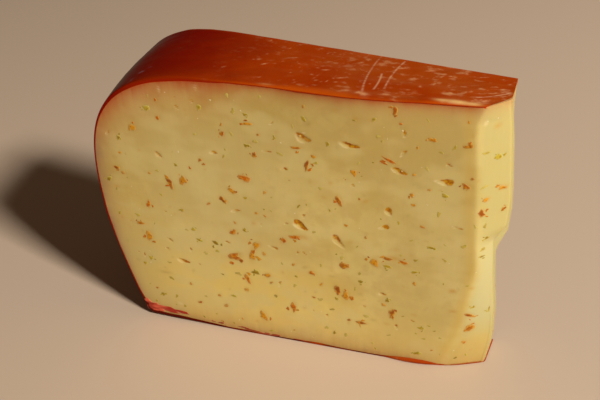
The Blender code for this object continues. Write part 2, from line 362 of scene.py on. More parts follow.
print("thickness at the rim and at the end, mm:", round(back_y(0) / MM, 1), round(back_y(0.137) / MM, 1))

# %% [markdown]
# Three helpers turn arrays into a piece. A grid of points becomes quads by numbering its points row by
# row. A closed ring of columns is a tube, and a fan from the middle of each end closes it.

# %% From arrays to a mesh


def grid_faces(rows, columns, closed):
    """Quads between neighbouring rows and columns; closed also joins the last column to the first."""
    i = np.arange(rows - 1)[:, None] * columns
    j = np.arange(columns if closed else columns - 1)[None, :]
    k = (j + 1) % columns
    return np.stack([i + j, i + k, i + columns + k, i + columns + j], -1).reshape(-1, 4)


def closed_tube(points):
    """Points and faces of a tube, rows by columns by 3, with a fan from a middle point at both ends."""
    rows, columns = points.shape[:2]
    middles = points[[0, -1]].mean(1)
    flat = np.concatenate([points.reshape(-1, 3), middles])
    j = np.arange(columns)
    k = (j + 1) % columns
    last = (rows - 1) * columns
    first_fan = np.stack([k, j, np.full(columns, rows * columns)], -1)
    last_fan = np.stack([last + j, last + k, np.full(columns, rows * columns + 1)], -1)
    faces = grid_faces(rows, columns, True).tolist() + first_fan.tolist() + last_fan.tolist()
    return flat, faces


def make_piece(name, points, faces, material, masks, crease=None):
    """A mesh at the solid's place, with its masks, outward faces and smooth shading up to the crease angle.

    A mask has a value for each point; the middles of end fans, which come last, get 0."""
    mesh = bpy.data.meshes.new(name)
    mesh.from_pydata((points + SHIFT).tolist(), [], faces)
    for key, values in masks.items():
        layer = mesh.attributes.new(key, "FLOAT", "POINT")
        padded = np.pad(values.ravel(), (0, len(points) - values.size))
        layer.data.foreach_set("value", padded.astype(np.float32))
    mesh.validate()
    if signed_volume(mesh) < 0:
        mesh.flip_normals()
    mesh.shade_smooth()
    if crease is not None:
        mesh.set_sharp_from_angle(angle=math.radians(crease))
    mesh.materials.append(material)
    piece = bpy.data.objects.new(name, mesh)
    bpy.context.scene.collection.objects.link(piece)
    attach(piece, "root")
    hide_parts("cheese_wedge")
    mesh.calc_loop_triangles()
    print(name, len(mesh.loop_triangles), "triangles")


def signed_volume(mesh):
    """Volume inside a closed mesh: the sum of a . (b x c) / 6 over its triangles; below 0 if inside out."""
    mesh.calc_loop_triangles()
    corners = np.zeros(len(mesh.loop_triangles) * 3, np.int32)
    mesh.loop_triangles.foreach_get("vertices", corners)
    places = np.zeros(len(mesh.vertices) * 3, np.float32)
    mesh.vertices.foreach_get("co", places)
    a, b, c = places.reshape(-1, 3)[corners.reshape(-1, 3)].transpose(1, 0, 2).astype(float)
    return np.einsum("ij,ij->", a, np.cross(b, c)) / 6

# %% [markdown]
# ## What lies in the paste
#
# Eyes are small bubbles that the knife has opened: flat lens-shaped hollows. Flakes of red pepper and
# green herb are cut through as well. Those at the surface are sharp, and those just under it show as
# soft stains. Rows give the distance from the rim, the height, the length and the width in
# millimetres and the tilt in degrees; an eye also has its depth and how brown its floor is.

# %% Eyes of the front cut
EYES = np.array([
    (26.3, 78.1, 3.6, 1.7, -32, 1.0, 0.3), (46.4, 81.8, 3.2, 1.3, 2, 0.7, 0.4),
    (76.9, 91.3, 5.6, 3.2, -10, 1.2, 0.3), (91.2, 90.7, 5.0, 2.6, -4, 1.5, 0.8),
    (106.5, 83.2, 4.8, 2.2, -10, 1.1, 0.7), (120.5, 81.2, 6.4, 2.1, -1, 1.3, 0.6),
    (27.9, 31.9, 4.3, 2.4, -15, 1.2, 0.5), (74.1, 56.6, 6.0, 3.0, -29, 1.8, 1.0),
    (86.9, 52.3, 5.2, 3.6, -48, 1.1, 0.3), (103.7, 67.3, 3.2, 2.6, -46, 1.2, 0.9),
    (102.6, 60.8, 3.7, 1.7, 10, 1.2, 0.9), (121.2, 87.5, 2.3, 1.2, -16, 0.6, 0.4),
    (64.6, 84.7, 3.0, 1.0, 8, 0.6, 0.3), (51.7, 59.1, 3.6, 1.4, 10, 0.7, 0.3),
    (64.3, 45.0, 3.4, 1.5, -8, 1.0, 0.5), (102.3, 31.4, 3.0, 1.5, 13, 0.8, 0.4),
    (108.0, 90.2, 3.0, 1.3, 45, 0.7, 0.3), (70.2, 78.8, 2.0, 1.4, 8, 0.6, 0.6),
    (125.4, 64.5, 2.9, 1.1, -9, 0.7, 0.4),
])

# %% Pepper and herb flakes of the front cut
PEPPER = np.array([
    (55.9, 73.1, 2.9, 3.3, 76), (58.9, 94.1, 3.0, 1.0, 7), (74.5, 87.4, 2.9, 1.0, 8),
    (50.1, 89.3, 1.9, 1.3, -29), (60.4, 82.6, 1.7, 1.4, 8), (77.6, 81.2, 3.5, 1.2, 79),
    (115.8, 95.7, 2.3, 1.1, -5), (126.4, 94.7, 2.8, 1.4, 19), (103.9, 86.7, 4.9, 0.8, -34),
    (92.7, 80.6, 1.9, 1.9, 8), (126.6, 80.5, 2.0, 2.0, 57), (105.2, 104.7, 2.6, 1.3, 83),
    (33.7, 68.9, 2.7, 2.7, 9), (28.4, 67.2, 4.7, 1.8, -69), (18.6, 56.5, 3.1, 1.3, -92),
    (13.7, 47.2, 2.7, 1.2, -2), (16.3, 41.6, 4.0, 2.5, 79), (47.3, 63.1, 2.7, 1.7, -43),
    (50.8, 67.3, 3.0, 1.3, -42), (49.5, 49.3, 2.3, 1.9, 10), (57.7, 44.8, 3.8, 1.9, 48),
    (55.6, 39.7, 4.4, 1.9, 81), (48.9, 38.2, 5.1, 2.5, 22), (67.9, 49.0, 2.1, 1.8, -42),
    (71.9, 51.2, 3.5, 1.4, -2), (87.6, 69.1, 3.4, 1.9, -78), (89.0, 41.6, 2.7, 2.7, 56),
    (86.5, 30.2, 4.3, 2.1, -70), (89.4, 27.9, 3.9, 2.4, 89), (60.8, 31.5, 2.0, 2.0, 12),
    (99.5, 45.2, 3.6, 2.2, 87), (103.8, 47.8, 3.6, 1.0, -9), (109.2, 47.1, 2.7, 1.3, -29),
    (110.8, 74.9, 1.9, 1.1, 68), (105.8, 23.0, 3.5, 2.0, 84), (132.0, 26.8, 3.1, 1.4, -29),
    (132.4, 20.4, 3.6, 2.8, 81), (57.5, 10.3, 4.1, 2.6, -87), (69.7, 17.7, 4.2, 1.6, 83),
    (52.8, 28.2, 3.8, 1.7, -69), (77.3, 36.1, 1.9, 1.5, 12), (94.8, 15.8, 3.6, 1.4, 0),
    (18.5, 87.9, 2.7, 1.8, 48), (9.3, 70.7, 2.0, 1.6, 8), (137.2, 78.8, 2.2, 1.3, 10),
    (132.0, 70.8, 2.6, 1.8, 85), (132.8, 75.6, 1.8, 1.2, 20), (138.2, 70.8, 1.6, 1.0, 60),
])
HERB = np.array([
    (12.5, 83.3, 1.7, 1.4, -16), (5.2, 65.4, 2.3, 1.4, 77), (67.7, 90.3, 1.3, 0.8, -65),
    (56.3, 32.0, 2.2, 2.2, -78), (16.6, 12.5, 2.1, 1.3, 0), (115.3, 4.9, 2.2, 1.5, 15),
    (94.8, 35.6, 2.1, 1.1, 12), (103.8, 44.4, 2.6, 1.3, -8), (117.7, 55.2, 2.2, 0.9, -16),
    (120.8, 76.3, 1.8, 1.5, 9), (25.1, 95.9, 2.2, 1.8, 6), (58.1, 86.0, 1.7, 1.4, 7),
    (36.3, 43.3, 2.2, 1.1, -8), (42.3, 43.1, 3.5, 1.1, -22), (116.2, 18.1, 2.5, 1.1, 14),
    (113.0, 43.7, 2.3, 1.0, 12), (14.8, 30.7, 2.5, 1.1, -72), (58.9, 97.4, 1.3, 1.0, 7),
    (34.4, 47.9, 1.8, 1.1, -44), (54.0, 50.8, 2.1, 0.7, -36), (104.2, 28.9, 1.9, 1.4, 62),
    (134.8, 90.0, 2.4, 1.4, 30), (134.4, 60.4, 2.0, 1.0, 0), (133.6, 53.2, 1.8, 0.6, -10),
    (138.0, 27.6, 2.4, 0.5, 85), (132.8, 30.8, 1.4, 1.0, 60),
])
print(len(EYES), "eyes,", len(PEPPER), "pepper and", len(HERB), "herb flakes placed one by one")

# %% [markdown]
# Only the larger ones have a place of their own. The many small ones follow a seeded draw, so each run
# gives the same cheese. A draw keeps clear of the wax and of what lies there already.

# %% Scattered rows
MARGIN = 3.0
draw = np.random.default_rng(41)


def scatter(count, sizes, shapes, taken, right_end, apart=0.5, depth=0.0):
    """Random rows in millimetres, each clear of the wax and of the rows in taken, which they are added to."""
    found = []
    while len(found) < count:
        z = draw.uniform(MARGIN, HEIGHT / MM - MARGIN)
        x = draw.uniform(rim_inset(np.array(z * MM), depth) / MM + MARGIN, right_end)
        length = draw.uniform(*sizes)
        clear = all(math.hypot(x - a, z - b) > (length + r) / 2 + apart for a, b, r in taken)
        if clear:
            taken.append((x, z, length))
            found.append((x, z, length, length * draw.uniform(*shapes), draw.uniform(-90, 90)))
    return np.array(found)


def taken_by(*tables):
    return [(row[0], row[1], row[2]) for table in tables for row in table]


front_taken = taken_by(EYES, PEPPER, HERB)
small_pepper = scatter(46, (0.8, 1.7), (0.5, 0.9), front_taken, 134)
small_herb = scatter(110, (0.8, 2.1), (0.35, 0.7), front_taken, 134)
small_eyes = scatter(34, (1.2, 2.4), (0.35, 0.55), front_taken, 120)
back_taken = []
back_eyes = scatter(16, (2.5, 5.5), (0.4, 0.55), back_taken, 132, 2.0, RIM_THICKNESS)
back_pepper = np.concatenate([
    scatter(46, (2.0, 4.2), (0.4, 0.8), back_taken, 134, depth=RIM_THICKNESS),
    scatter(70, (0.7, 1.5), (0.5, 0.9), back_taken, 134, depth=RIM_THICKNESS),
])
back_herb = np.concatenate([
    scatter(24, (1.5, 2.6), (0.4, 0.7), back_taken, 134, depth=RIM_THICKNESS),
    scatter(100, (0.8, 2.1), (0.35, 0.7), back_taken, 134, depth=RIM_THICKNESS),
])
print("scattered:", len(front_taken), "in front and", len(back_taken), "behind")

# %% [markdown]
# ## The paste
#
# The paste is one closed surface: a stack of outlines, each of them the wedge's plan at one height. Its
# near side has a point every half millimetre, so that every eye can be pressed into it. An eye moves
# the points inside its oval inwards, and up and to the right a little as well, which undercuts its far
# lip as in a real bubble. Points near the oval's line are first drawn onto it, and that keeps the lip sharp.

# %% Outlines of the paste
PASTE_FOOT = 0.4 * MM
PASTE_TOP = HEIGHT - 0.45 * MM
RIM_COVER = 0.4 * MM
COVER_TURN = 20 * MM
PASTE_LEVELS = 212
NEAR_COLUMNS = 288
BACK_COLUMNS = 122
END_COLUMNS = 20
RIM_COLUMNS = 8
TURN_POINTS = 6
NEAR_TURN, FAR_TURN = 1.2 * MM, 0.7 * MM


def corner_curve(before, corner, after, reach, count):
    """A rounded corner: the quadratic curve between the points at that reach along both sides."""
    start = corner + (before - corner) * reach / np.linalg.norm(before - corner, axis=-1, keepdims=True)
    stop = corner + (after - corner) * reach / np.linalg.norm(after - corner, axis=-1, keepdims=True)
    t = np.linspace(0, 1, count)[None, :, None]
    return (1 - t) ** 2 * start[:, None] + 2 * t * (1 - t) * corner[:, None] + t**2 * stop[:, None]


def straight(start, stop, count):
    """Points between two corners, without the corners."""
    t = np.linspace(0, 1, count + 2)[1:-1][None, :, None]
    return start[:, None] * (1 - t) + stop[:, None] * t


def covered_x(z, y):
    """The paste's rim, inside the wax: the wheel's rim moved in by the cover, and down over the shoulder."""
    down = (HEIGHT - PASTE_TOP) * np.clip((z - WIDEST_HEIGHT) / COVER_TURN, 0, 1)
    return rim_x(z + down, y) + RIM_COVER


def paste_outlines(z):
    """The plan at each height, heights by columns by 2: near side, narrow end, back cut and rim."""
    middle = np.stack([end_x(z) - CORNER_STEP, np.full_like(z, CORNER_DEPTH)], -1)
    far_end = end_x(z + NICK_SLANT)
    far = np.stack([far_end, back_y(far_end)], -1)
    rim_start = covered_x(z, 0.0)
    rim_stop = covered_x(z, RIM_THICKNESS)
    edge = np.stack([edge_x(z) + overhang(z), np.zeros_like(z)], -1)
    back_end = np.stack([rim_stop, back_y(rim_stop)], -1)
    near_turn = corner_curve(edge, middle, far, NEAR_TURN, TURN_POINTS)
    far_turn = corner_curve(middle, far, back_end, FAR_TURN, TURN_POINTS)
    t = np.linspace(0, 1, NEAR_COLUMNS)[None, :]
    x = rim_start[:, None] * (1 - t) + near_turn[:, :1, 0] * t
    level = z[:, None] + 0 * x
    near = np.stack([x, near_y(x, level, overhang(level))], -1)
    end = straight(near_turn[:, -1], far_turn[:, 0], END_COLUMNS)
    back = straight(far_turn[:, -1], back_end, BACK_COLUMNS)
    y = back_end[:, 1:] * np.linspace(1, 0, RIM_COLUMNS)[None, :-1]
    rim = np.stack([covered_x(z[:, None], y), y], -1)
    return np.concatenate([near, near_turn[:, 1:], end, far_turn, back, rim], 1)


levels = np.linspace(PASTE_FOOT, PASTE_TOP, PASTE_LEVELS)
plan = paste_outlines(levels)
print("outlines:", plan.shape)

# %% Eyes pressed into a side
EYE_POWER = 1.6
SNAP = 0.35


def in_oval(x, z, middle_x, middle_z, length, width, tilt):
    """Offsets from an oval's middle in millimetres, then the same as shares of its two tilted half sizes."""
    c, s = math.cos(math.radians(tilt)), math.sin(math.radians(tilt))
    dx, dz = x / MM - middle_x, z / MM - middle_z
    return dx, dz, (dx * c + dz * s) / (length / 2), (dz * c - dx * s) / (width / 2)


def press_eyes(x, z, eyes):
    """How far each point of a side moves along, inwards and up, and how brown and how pale the eye is there.

    In an eye's own directions the oval is |u|^1.6 + |v|^1.6 = 1, and two sine waves round it make it
    uneven. The depth is the eye's depth times (1 - r^2)^0.8, and r near 1 is drawn towards 1 by raising
    its distance to the power 1.8. The brown lies under the upper right lip, and a pale rim lies outside
    the lower left one."""
    along, inwards, up, brown, pale = (np.zeros_like(x) for _ in range(5))
    turns = np.random.default_rng(len(eyes)).uniform(0, 2 * math.pi, (len(eyes), 2))
    for (ex, ez, length, width, tilt, depth, tone), (first, second) in zip(eyes, turns):
        dx, dz, u, v = in_oval(x, z, ex, ez, length, width, tilt)
        r = (np.abs(u) ** EYE_POWER + np.abs(v) ** EYE_POWER) ** (1 / EYE_POWER) + 1e-6
        angle = np.arctan2(v, u)
        r = r * (1 + 0.20 * np.sin(2 * angle + first) + 0.16 * np.sin(3 * angle + second))
        gap = np.abs(r - 1)
        drawn = np.where(gap < SNAP, 1 + np.sign(r - 1) * SNAP * (gap / SNAP) ** 1.8, r)
        share = drawn / r - 1
        deep = depth * np.clip(1 - drawn**2, 0, 1) ** 0.8
        along += dx * share * MM + 0.3 * deep * MM
        up += dz * share * MM + 0.4 * deep * MM
        inwards += deep * MM
        # Painted shade: the brown, partly the eye's own colour, goes under the upper right lip, where the
        # hollow lies in shade.
        lean = (dx + 1.3 * dz) / ((length + width) / 2)
        inside = np.clip((1.2 - drawn) / 0.35, 0, 1)
        brown = np.maximum(brown, (0.35 + 0.65 * tone) * inside * np.clip(0.75 + 1.6 * lean, 0.05, 1))
        # Painted light: a pale rim outside the lower left lip, where the lamp lights the hollow's wall.
        rim = np.clip(1 - np.abs(drawn - 1.0) / 0.55, 0, 1)
        pale = np.maximum(pale, rim * np.clip(-1.9 * lean, 0, 1))
    return along, inwards, up, brown, pale


def with_depth(rows, share, tone):
    """Plain rows made into eyes: the depth is a share of the width, and the tone is the same for all."""
    depth = rows[:, 3:4] * share
    return np.concatenate([rows, depth, np.full_like(depth, tone)], 1)


surface = np.stack([plan[..., 0], plan[..., 1], levels[:, None] + 0 * plan[..., 0]], -1)
near_eyes = np.concatenate([EYES * [1, 1, 1, 0.85, 1, 0.2, 1], with_depth(small_eyes, 0.12, 0.4)])
eye_brown_and_shade, eye_lit_rim = np.zeros((2, *plan.shape[:2]))
first_back = NEAR_COLUMNS + TURN_POINTS - 1 + END_COLUMNS + TURN_POINTS
eyed_sides = [
    (np.s_[:, :NEAR_COLUMNS], near_eyes, 1, 0.0),
    (np.s_[:, first_back:first_back + BACK_COLUMNS], with_depth(back_eyes, 0.15, 0.5), -1, TAPER),
]
for side, eyes, sign, taper in eyed_sides:
    moves = press_eyes(surface[side][..., 0], surface[side][..., 2], eyes)
    surface[side] += np.stack([moves[0] - taper * moves[1], sign * moves[1], moves[2]], -1)
    eye_brown_and_shade[side], eye_lit_rim[side] = moves[3:]
print("eyes pressed:", len(near_eyes), "in front and", len(back_eyes), "behind")

# %% [markdown]
# Stains are painted into the paste as soft ovals, one value per point. Each attribute is a mask from 0 to
# 1, and the material later turns it into colour. Other masks say how near the wax is, since the paste is
# greyer by the rim, drier by the foot and a little pink below the top, where the wax shines through. A few
# carry painted light and shade instead: pale rims and highlights, a darker line before the corner's turn
# and a darker end face.

# %% Soft ovals


def soft_ovals(x, z, rows, spread=0.6):
    """The sum of bell curves exp(-r^2 / spread) over the rows, limited to 1; r is 1 on a row's oval."""
    mask = np.zeros_like(x)
    for *oval, strength in rows:
        _, _, u, v = in_oval(x, z, *oval)
        mask += strength * np.exp(-(u**2 + v**2) / spread)
    return np.clip(mask, 0, 1)


def with_strength(rows, strength):
    """Plain rows with the same strength added to each."""
    return np.concatenate([rows, np.full((len(rows), 1), strength)], 1)


# %% Stains, pale marks and painted highlights of the front cut
DEEP_PEPPER = np.array([
    (93.7, 100.5, 3.0, 2.2, -50, 0.45), (96.4, 70.2, 3.0, 2.0, 30, 0.6), (85.2, 75.6, 1.8, 1.5, 0, 0.5),
    (7.5, 62.5, 2.6, 1.6, 0, 0.6), (57.6, 54.7, 2.2, 2.2, 0, 0.5), (125.8, 37.9, 3.2, 2.2, 0, 0.8),
    (126.4, 28.6, 3.0, 1.8, 0, 0.65), (131.6, 40.0, 2.4, 1.8, 0, 0.5), (113.4, 24.0, 2.6, 1.6, 0, 0.4),
    (104.0, 17.4, 3.0, 2.0, 0, 0.35), (133.6, 100.4, 2.6, 2.0, 40, 0.6), (105.8, 48.6, 5.0, 1.8, -12, 0.6),
    (75.0, 51.8, 5.0, 2.4, -8, 0.5),
])
DEEP_HERB = np.array([
    (79.2, 96.9, 2.4, 2.0, 30, 0.5), (108.2, 99.0, 2.8, 2.2, 30, 0.35), (19.7, 24.6, 6.5, 2.2, 0, 0.45),
    (75.0, 38.2, 2.8, 1.6, 20, 0.5), (84.6, 36.0, 3.6, 1.4, 0, 0.4), (99.0, 18.0, 3.2, 1.8, 0, 0.35),
])
# Pale marks: the fissures under the wax and the lilac patch low by the rim are the paste's own; the slit by
# the largest eye holds a painted glint, and the patch by the corner under the top is a painted highlight.
PALE_MARKS_AND_GLINTS = np.array([
    (30.8, 103.2, 1.5, 5.0, 8, 0.75), (43.3, 105.0, 1.3, 4.4, 8, 0.8), (36.0, 103.9, 1.2, 3.4, 10, 0.45),
    (25.4, 100.6, 1.4, 4.4, 20, 0.45), (21.0, 97.4, 1.3, 3.6, 28, 0.4), (23.3, 8.8, 5.5, 3.4, -20, 0.5),
    (77.6, 93.2, 3.4, 0.7, -12, 0.9), (130.4, 102.0, 4.0, 2.6, 80, 0.6), (74.5, 58.6, 3.0, 0.8, -30, 0.5),
])

sx, sz = surface[..., 0], surface[..., 2]
soft_rows = scatter(60, (1.0, 2.6), (0.5, 0.9), [], 134)
soft_pepper = np.concatenate([DEEP_PEPPER, with_strength(soft_rows[:28], 0.35)])
soft_herb = np.concatenate([DEEP_HERB, with_strength(soft_rows[28:], 0.3)])
halos = with_strength(np.concatenate([PEPPER, small_pepper]), 0.6)
stain_pepper = np.clip(soft_ovals(sx, sz, soft_pepper) + soft_ovals(sx, sz, halos, 1.5), 0, 1)
stain_herb = soft_ovals(sx, sz, soft_herb)
# The pale mask carries the eyes' painted light rims, the painted highlights and the real pale marks.
pale = np.clip(eye_lit_rim * 0.7 + soft_ovals(sx, sz, PALE_MARKS_AND_GLINTS), 0, 1)

# %% Masks by the wax, the foot and the corner
PAST_END = 140 * MM


def gap_to_wax(x, z, y):
    """Distance to the wax's line on a cut at depth y: up the rim, over the shoulder and along the top."""
    on_rim, along_top = 60, 90
    side = np.linspace(0, WIDEST_HEIGHT, on_rim)
    heights = np.concatenate([side, shoulder_heights(2 * on_rim), np.full(along_top, HEIGHT)])
    starts = rim_x(heights, y)
    starts[-along_top:] += np.linspace(0, 1, along_top) * (PAST_END - starts[-1])
    nearest = np.full(x.shape, HEIGHT)
    for line_x, line_z in zip(starts, heights):
        nearest = np.minimum(nearest, np.hypot(x - line_x, z - line_z))
    return nearest


in_front = surface[..., 1] < RIM_THICKNESS / 4
wax_gap = np.where(in_front, gap_to_wax(sx, sz, 0.0), gap_to_wax(sx, sz, RIM_THICKNESS))
high = np.clip((sz - 78 * MM) / (16 * MM), 0, 1)
past_corner = np.clip((sx - edge_x(sz)) / (3 * MM) + 0.3, 0, 1)
pink_reach = np.interp(sx / MM, [0, 45, 62], [5.5, 5.5, 2.2]) * MM
dry_reach = np.interp(sz / MM, [0, 35, 50], [1.6, 2.2, 4.3]) * MM
# Painted shade: the narrow end face, which faces the lamp more, is made darker to even out its brightness.
end_face_shade = np.zeros_like(sx)
end_face_shade[:, NEAR_COLUMNS + 1:first_back - 4] = 1
paste_masks = {
    "under_wax": np.clip(1.25 * np.exp(-wax_gap / pink_reach), 0, 1) * high * (1 - 0.55 * past_corner),
    "by_rim": np.exp(-wax_gap / dry_reach) * (1 - high),
    "by_foot": np.exp(-sz / (5.0 * MM)) * np.clip(1.15 - (sx / MM - 100) / 40, 0.45, 1),
    "pale": pale,
    "corner": past_corner,
    "end_face_shade": end_face_shade,
    # Painted shade: a soft darker line just before the front cut turns into the corner face.
    "edge_shade_line": np.exp(-(((sx - edge_x(sz)) / MM + 2.2) / 2.0) ** 2),
    "waist": past_corner * np.interp(sz / MM, [14, 26, 54, 62], [0, 1, 1, 0]),
    "stain_pepper": stain_pepper,
    "stain_herb": stain_herb,
    "eye_brown_and_shade": eye_brown_and_shade,
}
print("painted:", len(soft_pepper), "pepper and", len(soft_herb), "herb stains")

# %% [markdown]
# ### The paste's finish
#
# Cut cheese is pale yellow and a little see-through: light goes in, spreads for a millimetre or two and
# comes out warmer, which softens the shading at the edges. Subsurface scattering does that. The colour is
# never even, so clouds of a lighter and a warmer yellow are mixed first. Painted light and shade follow:
# lighter towards the lower left, darker towards the top and by the rim low down, a darker line before the
# corner's turn, and colours of their own for the corner face and the end face by how the lamp lights them.
# Then come the drier zone by the wax, the stains, and the eyes, with painted shade under their upper right
# lips and painted light on their lower left rims. A fine bump gives the faint drag marks of the knife.

# %% Paste material
paste, wire, shader, places = new_material("paste")
mask = wire.attribute
ahead, height = places.axis(0), places.axis(2)
clouds = wire.noise(places, 55.0, 3.0)
wide = wire.noise(places, 26.0, 2.0, place=(1, 3, 8))
mottle = wire.noise(places, 170.0, 2.0, place=(4, 4, 1))
pools = wire.noise(places, 75.0, 2.0, stretch=(0.8, 1, 1.3), place=(2, 9, 4))
fine = wire.noise(places, 420.0, 2.0)
drag = wire.noise(places, 120.0, 2.0, stretch=(6, 1, 0.5))
grit = wire.noise(places, 1000.0, 2.0, place=(6, 2, 2))

yellow = (clouds * 0.5 + wide * 0.5).ramp(0.40, 0.60).mix((0.68, 0.50, 0.130), (0.85, 0.69, 0.245))
# Painted light: lower is lighter towards the lower left, standing in for light thrown up from the floor;
# upper is painted shade, darker towards the top.
lower = (height + ahead * 0.25 + (wide - 0.5) * 0.04).ramp(0.052, 0.012)
upper = (height + (clouds - 0.5) * 0.03).ramp(0.045, 0.100)
endward = (ahead + (wide - 0.5) * 0.04).ramp(0.010, 0.050)
# Painted shade: darker by the rim low down, taking back part of the painted light there.
rim_side_shade = ahead.ramp(-0.038, -0.062) * height.ramp(0.060, 0.035)
across_middle = ahead.ramp(0.025, -0.01) * ahead.ramp(-0.062, -0.038)
middle = across_middle * height.ramp(0.026, 0.045) * height.ramp(0.102, 0.085)
# Painted light and shade: the corner face gets a colour of its own, set by how brightly the lamp lights it,
# paler above and more orange below.
corner_face_lit_colour = height.ramp(0.026, 0.010).mix((0.635, 0.53, 0.195), (0.69, 0.51, 0.155))
uneven = mottle * 0.5 + drag * 0.4 + 0.6
# Painted shade: the eyes' floors turn a saturated brown under their upper right lips, partly their own
# colour.
eye_brown_and_shade_mask = (mask("eye_brown_and_shade") + (fine - 0.5) * 0.5 + (grit - 0.5) * 0.3).ramp(0.15, 0.60)
eye_brown_and_shade_colour = grit.ramp(0.42, 0.62).mix((0.66, 0.33, 0.002), (0.50, 0.155, 0.0))
colour = layered(yellow, [
    (mottle.ramp(0.42, 0.66) * 0.55, (0.69, 0.495, 0.15)),
    (fine.ramp(0.58, 0.8) * 0.5, (0.68, 0.47, 0.13)),
    # Painted light below and painted shade above.
    (lower * 0.7, (0.96, 0.745, 0.23)),
    (upper * 0.45, (0.58, 0.415, 0.115)),
    (endward * 0.5, (0.64, 0.50, 0.185)),
    (pools.ramp(0.44, 0.64) * 0.55, (0.80, 0.665, 0.265)),
    (middle * 0.45, (0.76, 0.63, 0.27)),
    (rim_side_shade * 0.5, (0.55, 0.42, 0.15)),
    # Painted shade line before the corner's turn.
    (mask("edge_shade_line") * 0.5, (0.72, 0.49, 0.105)),
    (mask("corner"), corner_face_lit_colour),
    (mask("waist"), (0.63, 0.55, 0.245)),
    # Painted shade on the end face.
    (mask("end_face_shade") * 0.85, (0.50, 0.41, 0.15)),
    (mask("by_rim") * uneven, (0.42, 0.22, 0.11)),
    (mask("by_foot") * uneven, (0.50, 0.26, 0.08)),
    (mask("under_wax") * uneven * 0.95, (0.55, 0.14, 0.036)),
    (mask("stain_pepper") * 0.85, (0.66, 0.33, 0.04)),
    (mask("stain_herb") * 0.8, (0.50, 0.34, 0.07)),
    # Real pale marks, painted highlights and the eyes' painted light rims.
    (mask("pale").ramp(0.2, 0.9) * 0.75, (0.94, 0.79, 0.44)),
    (eye_brown_and_shade_mask, eye_brown_and_shade_colour),
])
bumps = (drag * 0.5 + mottle * 0.9 + fine * 0.4).bump(0.16, 0.0004)
plug(shader, Base_Color=colour, Roughness=fine.ramp(0.3, 0.8) * 0.14 + 0.42, Normal=bumps)
plug(shader, Subsurface_Weight=0.4, Subsurface_Radius=(1.0, 0.55, 0.2), Subsurface_Scale=0.0012)
plug(shader, IOR=1.42, Specular_IOR_Level=0.25, Coat_Weight=0.03, Coat_Roughness=0.25)

points, faces = closed_tube(np.stack([sx, surface[..., 1], lifted(sx, sz)], -1))
make_piece("paste_body", points, faces, paste, paste_masks, crease=60)

# %% [markdown]
# ## The wax coat
#
# The wheel was dipped in wax, so the coat is a thin shell with the wheel's own shape. On the wedge it is
# a band that runs along the foot, round the toe, up the rim, over the shoulder and along the top. A
# profile across the band, carried along that path, makes it in one piece: from the front lip across
# the outside to the back lip, and back underneath. The knife drags soft wax over the cut in places,
# so the lip's width changes along the path.

# %% The path round the wheel
FOOT_STEPS, TOE_STEPS, RIM_STEPS, SHOULDER_STEPS, TOP_STEPS = 150, 8, 70, 70, 360
FOOT_OVERHANG = 0.4 * MM
TOP_OVERHANG = 0.1 * MM
END_TURN = 0.9 * MM


def wax_path():
    """Each step's height and share of the way out: in along the foot, up the rim, then out along the top."""
    toe = TOE_RADIUS * (1 - np.cos(np.linspace(0, math.pi / 2, TOE_STEPS)))
    side = np.linspace(TOE_RADIUS, WIDEST_HEIGHT + 12 * MM, RIM_STEPS)[1:]
    shoulder = shoulder_heights(SHOULDER_STEPS)
    rim = np.concatenate([toe, side, shoulder[shoulder > side[-1] + 0.3 * MM]])
    z = np.concatenate([np.zeros(FOOT_STEPS), rim[1:], np.full(TOP_STEPS, HEIGHT)])
    share = np.concatenate([np.linspace(1, 0, FOOT_STEPS), 0 * rim[1:], np.linspace(0, 1, TOP_STEPS + 1)[1:]])
    return z, share


path_z, path_share = wax_path()


def end_at(z, y, ahead=0.0):
    """Where the narrow end lies at depth y: along the corner face, then the end face, with a round turn."""
    corner = edge_x(z) + ahead + y / corner_slope(z, ahead)
    near_end, far_end = end_x(z) - CORNER_STEP, end_x(z + NICK_SLANT)
    face = near_end + (y - CORNER_DEPTH) * (far_end - near_end) / (back_y(far_end) - CORNER_DEPTH)
    gap = corner - face
    return face + 0.5 * (gap - np.sqrt(gap**2 + END_TURN**2))


def path_x(z, share, y):
    """How far along the path lies at depth y: a share of the way from the rim to just past the narrow end."""
    start = rim_x(z, y)
    end = end_at(z, y, overhang(z)) + np.where(z < HEIGHT / 2, FOOT_OVERHANG, TOP_OVERHANG)
    return start + share * (end - start)


front_path = np.stack([path_x(path_z, path_share, 0.0), path_z], -1)
tangent = np.gradient(front_path, axis=0)
tangent /= np.linalg.norm(tangent, axis=1, keepdims=True)
inward = np.stack([tangent[:, 1], -tangent[:, 0]], -1)
steps = np.linalg.norm(np.diff(front_path, axis=0), axis=1)
travel = np.concatenate([[0], np.cumsum(steps)])
print("the path is", round(travel[-1] / MM), "mm long, with", len(path_z), "steps")

# %% The band across the path


def waves(t, seed, longest, count=7):
    """A smooth curve from about -1 to 1: sines, each 1.7 times as quick and 0.62 as high as the last."""
    phases = np.random.default_rng(seed).uniform(0, 2 * math.pi, count)
    sizes = 0.62 ** np.arange(count)
    turns = 2 * math.pi * 1.7 ** np.arange(count) / longest
    return (np.sin(np.multiply.outer(t, turns) + phases) * sizes).sum(-1) / sizes.sum() * 1.6


def hill(t, middle, half):
    """A smooth hill of height 1, zero beyond half on both sides of the middle."""
    return np.clip(1 - ((t - middle) / half) ** 2, 0, 1) ** 1.2


